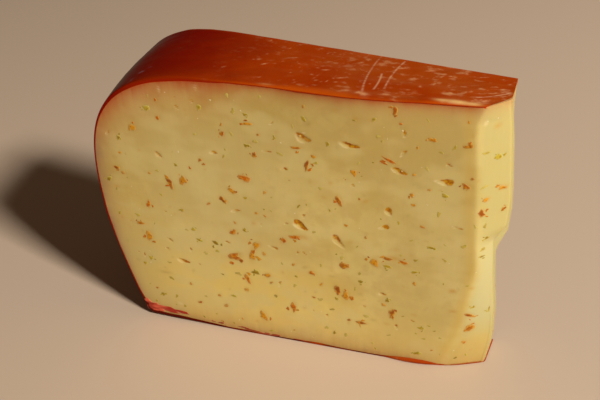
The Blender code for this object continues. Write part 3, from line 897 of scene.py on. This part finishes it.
along = front_path[:, 0] / MM
on_top = np.clip((path_z - 100 * MM) / (8 * MM), 0, 1)
on_foot = (path_z < 0.5 * MM) * 1.0
on_toe = np.clip(1 - path_z / (12 * MM), 0, 1)
on_rim = (1 - on_top) * (1 - on_foot)
ragged = waves(travel, 3, 40 * MM)
top_lip = np.interp(along, [55, 75], [0.62, 0.45]) + 0.08 * waves(travel, 5, 25 * MM)
foot_lip = 0.75 + 0.25 * ragged + 1.1 * hill(along, 113, 9) + 1.0 * hill(along, 18, 16)
lip_width = (0.62 + 1.2 * on_toe) * on_rim + top_lip * on_top + foot_lip * on_foot + 0.1 * ragged
lip_width *= MM
on_shoulder = np.clip((path_z - 78 * MM) / (14 * MM), 0, 1)
lip_width += np.interp(along, [6, 18, 28, 42, 52], [0.0, 1.0, 0.8, 0.6, 0]) * MM * on_shoulder
at_start = np.clip(1 - travel / (3 * MM), 0, 1)
lip_width = lip_width * (1 - at_start) + 0.6 * MM * at_start
lip_width = np.convolve(np.pad(lip_width, 3, "edge"), np.ones(7) / 7, "valid")
top_proud = np.interp(along, [40, 60, 78, 92, 100, 116, 130], [0.05, 0.08, 0.1, 0.12, 0.08, 0.15, 0.12])
foot_proud = 0.12 + 0.8 * hill(along, 113, 9) + 0.2 * hill(along, 18, 14)
lip_proud = (0.08 * on_rim + top_proud * on_top + foot_proud * on_foot + 0.03 * ragged) * MM
lip_proud *= np.clip(np.minimum(travel, travel[-1] - travel) / (3 * MM), 0.12, 1)
back_width = (0.7 + 0.6 * on_top + 0.3 * waves(travel, 8, 50 * MM)) * MM
thickness = (0.75 + 0.75 * on_top) * MM

LIP_SHAPE = [(1.0, -0.25), (0.97, 0.25), (0.85, 0.75), (0.6, 1.0), (0.35, 1.0), (0.15, 0.85), (0.04, 0.5)]
LIPS = len(LIP_SHAPE)
ACROSS = 64
INSIDE_ACROSS = 20


def band_section(y_share, past, inside):
    """One column of the band at that share of the depth, so far past the cut and inside the outer face.

    The front follows the round corner of the paste, and that shift dies out as the corner's round does."""
    y = np.zeros_like(path_z)
    for _ in range(5):
        x = path_x(path_z, path_share, y)
        y = y_share * back_y(x)
    front_x = path_x(path_z, path_share, 0.0) + inward[:, 0] * inside
    x = x + inward[:, 0] * inside
    z = path_z + inward[:, 1] * inside
    soft = corner_round(z, overhang(z))
    fade = (1 - y_share) * (np.sqrt(y**2 + soft**2) - y) / soft
    return np.stack([x, y + near_y(front_x, z, overhang(z)) * fade + past, z], -1)


columns = []
for width_share, proud_share in LIP_SHAPE:
    columns.append(band_section(0.0, -lip_proud * proud_share, lip_width * width_share))
for y_share in np.linspace(0, 1, ACROSS):
    columns.append(band_section(y_share, 0.0, 0.0 * path_z))
for width_share, proud_share in LIP_SHAPE[::-1]:
    columns.append(band_section(1.0, lip_proud * 0.6 * proud_share, back_width * width_share))
for y_share in np.linspace(0.98, 0.02, INSIDE_ACROSS):
    columns.append(band_section(y_share, 0.0, thickness))
band = np.stack(columns, 1)
print("the band:", band.shape)

# %% The band's low swells and its worn front edge
SWELL = 0.14 * MM
EDGE_DROP = 0.4 * MM
EDGE_PLACES = [0, 46, 54, 68, 80, 90, 96, 112, 117, 126, 137]
EDGE_WIDTHS = [0.1, 0.3, 0.7, 1.6, 2.8, 2.6, 1.2, 1.0, 1.6, 1.5, 1.0]

outward = np.stack([-inward[:, 0], 0 * path_z, -inward[:, 1]], -1)[:, None, :]
column = np.arange(band.shape[1])[None, :]
outer = np.s_[:, LIPS:LIPS + ACROSS]
across, way = band[outer][..., 1], travel[:, None]
front_y, far_y = band[:, LIPS, 1][:, None], band[:, LIPS + ACROSS - 1, 1][:, None]
swell = np.zeros(band.shape[:2])
swell[outer] = waves(way + 0.8 * across, 21, 45 * MM, 5) * waves(across - 0.5 * way, 22, 30 * MM, 5)
swell[outer] *= np.clip((across - front_y) / (3 * MM), 0, 1)
swell[path_z < 0.5 * MM] = 0
band = band + outward * (swell * SWELL)[..., None]
front_gap, back_gap = np.abs(band[..., 1] - front_y), np.abs(band[..., 1] - far_y)
edge_reach = (np.interp(along, EDGE_PLACES, EDGE_WIDTHS) * MM)[:, None] * (1 + 0.25 * ragged)[:, None]
worn_edge = np.clip(1 - front_gap / edge_reach, 0, 1) ** 1.5 * on_top[:, None]
band[..., 2] -= EDGE_DROP * worn_edge * (column >= LIPS) * (column < LIPS + ACROSS)

# %% [markdown]
# Masks on the band say where the wax glows, partly thin wax and partly painted edge light, where it is deep
# red, where painted shade darkens the foot and the toe, where painted glints and a painted sheen lie, and
# where it is scuffed. The scuffs and scratches are on the top: each scuff is a soft oval, and a scratch is
# a line through three points.

# %% Scuffs, scratches, painted glints and worn spots with painted sheen
SCUFFS = np.array([
    (49.5, 9.4, 1.4, 0.7, 30, 0.9), (61.5, 13.5, 2.4, 0.9, 35, 1.0), (69.1, 19.2, 4.4, 0.8, 15, 0.9),
    (66.4, 15.8, 1.5, 0.7, 20, 0.6), (81.0, 12.9, 2.6, 0.9, 10, 1.0), (86.8, 8.8, 2.4, 0.8, 10, 0.9),
    (87.4, 3.9, 1.8, 0.9, 0, 0.7), (86.0, 6.1, 1.2, 0.7, 0, 0.9), (67.0, 2.1, 1.5, 0.7, 20, 1.0),
    (75.6, 2.5, 3.5, 1.6, 0, 0.5), (61.8, 3.7, 5.0, 2.5, 20, 0.35), (79.4, 8.3, 0.7, 4.0, -20, 0.4),
    (84.0, 22.4, 4.0, 0.9, 0, 0.5), (88.1, 21.3, 3.0, 1.0, 20, 0.5), (91.0, 19.9, 3.5, 1.8, 30, 0.4),
    (95.5, 0.6, 4.2, 2.4, -20, 0.9), (93.6, 1.4, 2.6, 2.0, 20, 0.7), (89.5, 1.8, 5.0, 1.8, 0, 0.45),
    (101.8, 1.4, 5.0, 1.2, 0, 0.7), (104.5, 5.4, 9.0, 0.8, 2, 0.5), (96.5, 19.0, 4.0, 2.2, 10, 0.5),
    (103.4, 18.2, 4.2, 1.6, 35, 0.8), (104.3, 8.5, 7.0, 3.0, 0, 0.3), (108.2, 11.8, 3.0, 2.2, 10, 0.8),
    (110.6, 7.9, 1.0, 1.4, 0, 0.8), (112.3, 9.4, 5.5, 0.8, 5, 0.6), (112.0, 18.2, 3.2, 1.0, 20, 0.7),
    (114.5, 19.6, 3.4, 1.2, 0, 0.7), (115.8, 14.6, 0.9, 5.0, -25, 0.7), (116.6, 17.0, 2.6, 0.9, 25, 0.8),
    (118.3, 15.7, 1.2, 0.8, 0, 1.0), (121.6, 15.0, 2.8, 0.8, 10, 0.6), (125.0, 17.0, 1.0, 0.8, 0, 1.0),
    (128.4, 17.0, 4.0, 0.8, 8, 0.7), (130.0, 13.8, 0.9, 0.7, 0, 0.8), (119.0, 7.6, 6.0, 1.4, 0, 0.4),
    (119.1, 5.2, 4.0, 2.2, 0, 0.6), (125.5, 11.4, 3.0, 1.4, 10, 0.3), (129.6, 7.2, 7.0, 0.8, 12, 0.6),
    (132.9, 10.3, 5.0, 0.7, 12, 0.6), (132.5, 6.1, 6.0, 1.2, 15, 0.5), (121.6, 1.0, 10.0, 2.2, 3, 0.9),
    (127.5, 2.0, 6.0, 2.2, 8, 0.7), (124.3, 1.6, 0.9, 0.9, 0, 1.0),
])
SCRATCHES = [
    ((96.0, 26.0), (94.4, 13.0), (94.9, 2.0)),
    ((103.6, 22.7), (101.5, 14.0), (100.8, 5.0)),
    ((98.3, 13.5), (98.4, 9.0), (97.9, 4.0)),
    ((127.0, 4.6), (131.0, 6.0), (135.5, 8.6)),
]
# Scuffed wax on the left shoulder with painted grey-purple glints.
BLOOM_AND_GLINTS = np.array([
    (22.1, 6.2, 2.6, 1.5, 60, 1.0),
    (20.3, 2.2, 2.4, 1.1, 70, 0.8),
    (24.0, 8.8, 1.6, 0.9, 60, 0.5),
])
# Worn spots of the top's front edge, pale, with a painted sheen where the bevelled edge catches the light.
WORN_SPOTS_AND_SHEEN = np.array([
    (117.6, 1.3, 4.6, 1.5, -4, 0.7),
    (122.4, 1.2, 7.5, 1.9, -5, 0.95),
    (126.8, 0.9, 4.0, 1.4, 0, 0.7),
    (66.0, 0.9, 5.0, 1.0, 0, 0.25),
])
SMALLER = [1, 1, 0.9, 0.75, 1, 1]

# %% Small marks by a seeded draw
SMALL_MARKS = 190
SCRATCH_WIDTH = 0.24
marks = np.random.default_rng(77)
mark_x = 137 - 80 * marks.uniform(0, 1, SMALL_MARKS) ** 1.5
mark_length = marks.uniform(0.4, 1.4, SMALL_MARKS)
mark_y = marks.uniform(0, 1, SMALL_MARKS) * (42 - TAPER * mark_x)
mark_width = mark_length * marks.uniform(0.3, 0.8, SMALL_MARKS)
mark_tilt = marks.normal(15, 40, SMALL_MARKS)
mark_strength = marks.uniform(0.2, 0.8, SMALL_MARKS)
small_marks = np.stack([mark_x, mark_y, mark_length, mark_width, mark_tilt, mark_strength], -1)

# %% Masks on the band


def line_mask(x, y, points):
    """A soft line: exp(-(d / width)^2) with d the distance in millimetres to a curve through three points."""
    t = np.linspace(0, 1, 40)[:, None]
    a, b, c = (np.array(p) for p in points)
    curve = (1 - t) ** 2 * a + 2 * t * (1 - t) * (2 * b - (a + c) / 2) + t**2 * c
    nearest = np.full(x.shape, 1e9)
    for cx, cy in curve:
        nearest = np.minimum(nearest, (x / MM - cx) ** 2 + (y / MM - cy) ** 2)
    return np.exp(-nearest / SCRATCH_WIDTH**2)


bx, by, bz = band.transpose(2, 0, 1)
outside = column < LIPS + ACROSS
is_top = (bz > 104 * MM) & outside
lip_place = np.zeros(band.shape[:2])
lip_place[:, :LIPS] = np.array(LIP_SHAPE)[:, 0]
# The orange of thin wax along the front lip, with painted edge light along the front edge; a thin painted
# light line runs along the back edge of the top.
glow_and_edge_light_places = [0, 46, 54, 68, 90, 98, 112, 117, 123, 137]
glow_and_edge_light_along = np.interp(along, glow_and_edge_light_places, [0, 0, 0.5, 1, 1, 0.45, 0.5, 1, 0.7, 0.6]) * on_top
glow_and_edge_light = np.where(column < LIPS, 0.6, np.clip(1.25 - front_gap / edge_reach, 0, 1)) * outside
# Painted shade: near-black red along the foot and round the toe by the rim, where the wax's edge turns under
# and lies in shade; it leaves out the lump near the end.
foot_shade = on_foot * np.clip(1 - hill(along, 118, 18) * 1.6, 0, 1)
foot_shade *= np.clip(0.7 + 0.6 * waves(travel, 12, 30 * MM), 0, 1)
toe_shade = on_toe * (1 - on_top) * (path_share < 0.8) * np.clip((36 - along) / 6, 0, 1)
wax_masks = {
    "glow_and_edge_light": np.maximum(glow_and_edge_light_along[:, None] * glow_and_edge_light, 0.5 * np.exp(-back_gap / (0.4 * MM)) * on_top[:, None]),
    "scuffs": soft_ovals(bx, by, np.concatenate([SCUFFS * SMALLER, small_marks]), 0.8) * is_top,
    "scratches": np.clip(sum(line_mask(bx, by, points) for points in SCRATCHES), 0, 1) * is_top,
    "bloom_and_glints": soft_ovals(bx, by, BLOOM_AND_GLINTS, 0.7) * (bz > 99 * MM),
    "worn_spots_and_sheen": soft_ovals(bx, by, WORN_SPOTS_AND_SHEEN, 0.8) * is_top,
    "deep": np.clip(lip_place / 0.5, 0, 1) * ((0.2 + 0.5 * on_top) * (1 - on_foot))[:, None],
    "thin_lip": np.clip((lip_place - 0.86) / 0.1, 0, 1) * on_top[:, None],
    "near_lip": np.exp(-front_gap / (3 * MM)) * on_top[:, None],
    "foot_shade": np.maximum(foot_shade, toe_shade)[:, None] + 0 * glow_and_edge_light,
}
band[..., 2] = np.maximum(lifted(bx, bz), 0)
print("scuffs and scratches:", len(SCUFFS) + SMALL_MARKS, "and", len(SCRATCHES))

# %% [markdown]
# ### The wax's finish
#
# Red wax is clear enough to glow orange where it is thin, along the lip, and goes deep red where it is
# thick; the orange also carries painted edge light along the front and back edges of the top. Where the wax
# turns away from the lamp over the left shoulder the darker red is painted shade, and so is the near-black
# along the foot and round the toe. Handling leaves a haze and many small pale scuffs, most of them along
# the length, and a few long scratches run across; the left shoulder has painted glints, and a few worn
# spots by the front edge have a painted sheen. All of that is colour and roughness on a glossy coat.

# %% Wax material
wax, wire, shader, places = new_material("wax")
mask = wire.attribute
broad = wire.noise(places, 38.0, 3.0)
patches = wire.noise(places, 60.0, 2.0, place=(7, 2, 5))
streaks = wire.noise(places, 60.0, 4.0, stretch=(0.5, 4, 4))
flecks = wire.noise(places, 460.0, 4.0, stretch=(0.7, 1.1, 1), place=(3, 1, 0))
# Painted shade: the wax is darker towards the left, over the shoulder that turns away from the lamp.
left = (places.axis(0) + (broad - 0.5) * 0.02).ramp(0.0, -0.035)
right = (places.axis(0) + (patches - 0.5) * 0.03).ramp(-0.03, 0.045)
red = broad.ramp(0.3, 0.7).mix((0.36, 0.032, 0.0005), (0.43, 0.048, 0.001))
haze = streaks.ramp(0.45, 0.75) * (right * 0.7 + 0.05)
fleck = flecks.ramp(0.54, 0.70) * patches.ramp(0.42, 0.56) * (right * 0.75 + 0.04)
scratch = mask("scratches") * flecks.ramp(0.25, 0.50)
scuff = mask("scuffs") * flecks.ramp(0.40, 0.60)
colour = layered(red, [
    # Painted shade over the left shoulder, a little weaker by the lip.
    (left * 0.9 * (1 - mask("near_lip") * 0.45), (0.185, 0.001, 0.0)),
    (right * patches.ramp(0.35, 0.65) * 0.6, (0.42, 0.075, 0.006)),
    (haze * 0.3, (0.48, 0.15, 0.045)),
    (fleck * 0.7, (0.60, 0.25, 0.10)),
    # Thin wax's orange with painted edge light.
    (mask("glow_and_edge_light") * 0.9, (0.58, 0.085, 0.002)),
    (scratch * 0.75, (0.78, 0.42, 0.22)),
    (scuff * 0.9, (0.78, 0.36, 0.15)),
    # Worn spots with painted sheen.
    (mask("worn_spots_and_sheen"), (0.86, 0.50, 0.17)),
    (mask("deep"), (0.40, 0.013, 0.001)),
    # Painted glints on scuffed wax.
    (mask("bloom_and_glints") * flecks.ramp(0.38, 0.58) * 0.5, (0.42, 0.30, 0.34)),
    (mask("thin_lip"), (0.80, 0.065, 0.004)),
    # Painted shade along the foot and toe.
    (mask("foot_shade") * 0.95, (0.11, 0.008, 0.002)),
])
bumps = (scuff * 0.5 + broad * 1.5 + streaks * 0.3).bump(0.3, 0.0003)
plug(shader, Base_Color=colour, Roughness=scuff * 0.25 + haze * 0.2 + 0.3, Normal=bumps)
plug(shader, Subsurface_Weight=0.06, Subsurface_Radius=(1.0, 0.12, 0.02), Subsurface_Scale=0.0012)
plug(shader, IOR=1.44, Specular_IOR_Level=0.025)

points, faces = closed_tube(band)
make_piece("wax_coat", points, faces, wax, wax_masks, crease=70)

# %% [markdown]
# ## Flakes at the surface
#
# A flake that the knife has cut through is a thin chip, flush with the paste. Each one is a low dome on
# an uneven outline: rings of points round a middle, a tenth of a millimetre proud, with its border
# just under the surface. All chips of one kind are one mesh, computed in one go.

# %% Chips on a side
RING_SHARES = np.array([0.4, 0.74, 1.0])
RING_HEIGHTS = np.array([0.05, 0.035, -0.04]) * MM
CHIP_POINTS = 11


def on_side(side, a, z, depth):
    """A point of a side, that far inside it: a is its distance from the rim, or its Y on the end face."""
    if side == "near":
        return np.stack([a, near_y(a, z, overhang(z)) + depth, z], -1)
    if side == "back":
        return np.stack([a - TAPER * depth, back_y(a) - depth, z], -1)
    return np.stack([end_at(z, a) - depth, a, z], -1)


def chips(rows, side, seed, relief=1.0, faint=0.0):
    """Closed chips on a side: points, faces and two masks, each chip's tint and how near its border it is.

    The border mask starts from a random value up to faint, so that some chips show less."""
    count = len(rows)
    random = np.random.default_rng(seed)
    turn, second, third = (random.uniform(0, 6, (count, 1)) for _ in range(3))
    angle = np.linspace(0, 2 * math.pi, CHIP_POINTS, endpoint=False) + turn
    torn = 0.95 + 0.2 * np.sin(2 * angle + second) + 0.15 * np.sin(3 * angle + third)
    torn += random.uniform(-0.26, 0.26, angle.shape)
    u = np.cos(angle) * torn * rows[:, 2:3] / 2
    v = np.sin(angle) * torn * rows[:, 3:4] / 2
    tilt = np.radians(rows[:, 4:5])
    da = (u * np.cos(tilt) - v * np.sin(tilt))[:, None, :] * RING_SHARES[None, :, None]
    dz = (u * np.sin(tilt) + v * np.cos(tilt))[:, None, :] * RING_SHARES[None, :, None]
    a = (rows[:, 0][:, None, None] + da) * MM
    z = (rows[:, 1][:, None, None] + dz) * MM
    depth = -RING_HEIGHTS[None, :, None] * relief + 0 * a
    rings = on_side(side, a, z, depth).reshape(count, -1, 3)
    middle_a, middle_z = rows[:, 0:1] * MM, rows[:, 1:2] * MM
    top = on_side(side, middle_a, middle_z, 0 * middle_a - 0.06 * MM * relief)
    bottom = on_side(side, middle_a, middle_z, 0 * middle_a + 0.35 * MM)
    points = np.concatenate([rings, top, bottom], 1)
    per_chip = points.shape[1]
    j = np.arange(CHIP_POINTS)
    k = (j + 1) % CHIP_POINTS
    last = (len(RING_SHARES) - 1) * CHIP_POINTS
    quads = grid_faces(len(RING_SHARES), CHIP_POINTS, True)
    top_fan = np.stack([k, j, np.full(CHIP_POINTS, per_chip - 2)], -1)
    bottom_fan = np.stack([last + j, last + k, np.full(CHIP_POINTS, per_chip - 1)], -1)
    start = (np.arange(count) * per_chip)[:, None, None]
    fans = np.concatenate([top_fan, bottom_fan])[None] + start
    faces = (quads[None] + start).reshape(-1, 4).tolist() + fans.reshape(-1, 3).tolist()
    tint = np.repeat(random.uniform(0, 1, count), per_chip)
    border = np.tile(np.concatenate([np.repeat(RING_SHARES, CHIP_POINTS), [0, 0]]), count)
    border = np.maximum(border, np.repeat(random.uniform(0.3 * faint, faint, count), per_chip))
    return points.reshape(-1, 3), faces, tint, border


def with_crumbs(rows, seed, share=0.5):
    """Adds two smaller chips beside each row's, at its edge, since a flake tears into pieces."""
    random = np.random.default_rng(seed)
    crumbs = []
    for _ in range(2):
        angle = random.uniform(0, 2 * math.pi, len(rows))
        reach = 0.5 * (rows[:, 2] + rows[:, 3]) / 2 * random.uniform(0.7, 1.5, len(rows))
        length = rows[:, 2] * random.uniform(0.25, share, len(rows))
        width = length * random.uniform(0.4, 0.9, len(rows))
        tilt = random.uniform(-90, 90, len(rows))
        a, z = rows[:, 0] + np.cos(angle) * reach, rows[:, 1] + np.sin(angle) * reach
        crumbs.append(np.stack([a, z, length, width, tilt], -1))
    return np.concatenate([rows, *crumbs])


def joined(groups):
    """Several sets of chips as one: the faces of each set are numbered on from the set before."""
    points, faces, tints, borders, total = [], [], [], [], 0
    for group_points, group_faces, tint, border in groups:
        points.append(group_points)
        faces += [[index + total for index in face] for face in group_faces]
        tints.append(tint)
        borders.append(border)
        total += len(group_points)
    return np.concatenate(points), faces, np.concatenate(tints), np.concatenate(borders)


def end_rows(count, sizes, seed):
    """Random rows on the narrow end face: depth behind the front from 8 to 16 mm, any height."""
    random = np.random.default_rng(seed)
    length = random.uniform(*sizes, count)
    width = length * random.uniform(0.4, 0.8, count)
    y, z, tilt = (random.uniform(*span, count) for span in ((8, 16), (5, 103), (-90, 90)))
    return np.stack([y, z, length, width, tilt], -1)

# %% [markdown]
# ### Flake finishes
#
# Dried pepper is rust-red with orange and brown chips among it. Dried herb is olive, from yellowish green
# to brown. The tint of each chip picks its place between those colours, and the border melts into the
# colour of the paste.

# %% Flake materials


def flake_material(name, colours, soft_edge, roughness):
    """Three colours by the chips' tints, with a fine grain, melting into the paste's colour at the border."""
    first, second, third = colours
    material, wire, shader, places = new_material(name)
    tint = wire.attribute("tint")
    grain = wire.noise(places, 700.0, 2.0)
    spots = wire.noise(places, 1300.0, 1.0, place=(2, 5, 3))
    border = (wire.attribute("border") + (grain - 0.5) * 0.7).ramp(0.3, 1.0)
    colour = layered(tint.ramp(0.1, 0.5).mix(first, second), [
        (tint.ramp(0.5, 0.85), third),
        (grain.ramp(0.44, 0.62) * 0.7, third),
        (spots.ramp(0.52, 0.64) * 0.7, second),
        (border * 0.95, soft_edge),
    ])
    bumps = grain.bump(0.3, 0.0002)
    plug(shader, Base_Color=colour, Roughness=grain * 0.2 + roughness, Normal=bumps, Specular_IOR_Level=0.15)
    return material


PEPPER_COLOURS = [(0.66, 0.16, 0.002), (0.35, 0.085, 0.006), (0.77, 0.34, 0.010)]
HERB_COLOURS = [(0.50, 0.33, 0.015), (0.30, 0.18, 0.010), (0.58, 0.42, 0.035)]
pepper = flake_material("pepper_flakes", PEPPER_COLOURS, (0.68, 0.41, 0.10), 0.42)
herb = flake_material("herb_flakes", HERB_COLOURS, (0.68, 0.53, 0.13), 0.5)

BIGGER = [1, 1, 1.3, 1.5, 1]
pepper_groups = [
    chips(with_crumbs(PEPPER * BIGGER, 71), "near", 51),
    chips(small_pepper * BIGGER, "near", 52, 1.0, 0.8),
    chips(with_crumbs(back_pepper * BIGGER, 73), "back", 53, 1.0, 0.6),
    chips(end_rows(9, (1.0, 3.0), 54), "end", 55),
]
points, faces, tint, border = joined(pepper_groups)
make_piece("pepper_flakes", points, faces, pepper, {"tint": tint, "border": border})
herb_groups = [
    chips(with_crumbs(HERB * BIGGER, 74), "near", 61),
    chips(small_herb * BIGGER, "near", 62, 0.6, 0.9),
    chips(back_herb, "back", 63, 1.0, 0.8),
    chips(end_rows(14, (0.6, 1.8), 64), "end", 65),
]
points, faces, tint, border = joined(herb_groups)
make_piece("herb_flakes", points, faces, herb, {"tint": tint, "border": border})

# %% [markdown]
# ## Wax smears
#
# At the foot the knife dragged soft wax onto the cut: a torn smear near the rim and a few small flecks
# further on. They are chips too, only flatter and wider.

# %% Smears at the foot
SMEARS = np.array([
    (11.6, 5.0, 7.5, 5.6, -22), (16.4, 4.7, 11, 4.0, -15), (22.6, 4.4, 9, 2.0, -9),
    (9.0, 7.4, 4.6, 2.4, -38), (11.4, 3.0, 5.0, 2.8, -5), (18.5, 3.6, 8.0, 2.0, -8),
    (14.0, 3.4, 5.0, 2.2, -10),
])
TORN = np.array([
    (39.4, 2.2, 3.4, 1.1, -8), (36.2, 2.4, 2.0, 0.9, -12), (49.0, 1.9, 6.5, 1.1, -5),
    (52.6, 1.2, 8.5, 1.3, -2), (58.0, 0.9, 5.0, 1.1, 0), (61.5, 0.9, 5.0, 1.5, 3),
    (71.0, 0.8, 6.0, 0.7, 0), (80.0, 0.7, 4.0, 0.6, 0),
])
smear, wire, shader, places = new_material("smeared_wax")
torn = wire.noise(places, 260.0, 4.0, stretch=(0.4, 1, 2.0))
ragged_border = (wire.attribute("border") + (torn - 0.5) * 0.8).ramp(0.6, 1.0)
colour = layered(torn.ramp(0.42, 0.58).mix((0.42, 0.024, 0.008), (0.80, 0.13, 0.06)), [
    (torn.ramp(0.66, 0.80) * 0.6, (0.80, 0.34, 0.20)),
    (wire.attribute("dull") * 0.8, (0.33, 0.055, 0.014)),
    (ragged_border * 0.8, (0.70, 0.34, 0.15)),
])
bumps = torn.bump(0.5, 0.0003)
plug(shader, Base_Color=colour, Roughness=torn * 0.3 + 0.25, Normal=bumps, Specular_IOR_Level=0.3)
smear_chips = chips(SMEARS, "near", 81, 2.4)
torn_chips = chips(TORN, "near", 82, 1.5)
points, faces, _, border = joined([smear_chips, torn_chips])
points[:, 2] = np.maximum(points[:, 2], lifted(points[:, 0], 0 * points[:, 2]) + 0.05 * MM)
points[:, 0] = np.maximum(points[:, 0], rim_x(points[:, 2], 0 * points[:, 2]) + 0.1 * MM)
dull = np.repeat([0.0, 1.0], [len(smear_chips[0]), len(torn_chips[0])])
make_piece("wax_smears", points, faces, smear, {"border": border, "dull": dull})

# %% [markdown]
# ## Salt grains
#
# A few pale grains of salt show in the paste, each less than a millimetre across and a little glossier.

# %% Salt grains
GRAINS = np.array([
    (47.8, 101.1, 0.9, 0.7, 0), (57.5, 98.5, 0.8, 0.6, 0), (33.7, 80.4, 1.0, 0.7, 0),
    (107.3, 98.0, 0.9, 0.6, 0), (94.3, 77.3, 0.7, 0.6, 0), (14.9, 34.1, 0.7, 0.5, 0),
    (115.6, 72.0, 0.8, 0.6, 0), (69.7, 88.6, 0.8, 0.6, 0), (76.0, 92.0, 0.7, 0.5, 0),
])
small_grains = scatter(26, (0.35, 0.65), (0.6, 0.95), [], 134)
salt, wire, shader, places = new_material("salt_grains")
frost = wire.noise(places, 900.0, 2.0)
colour = frost.ramp(0.35, 0.65).mix((0.76, 0.60, 0.24), (0.86, 0.74, 0.44))
plug(shader, Base_Color=colour, Roughness=frost * 0.3 + 0.2)
points, faces, *_ = chips(np.concatenate([GRAINS, small_grains]), "near", 91, 0.8)
make_piece("salt_grains", points, faces, salt, {})
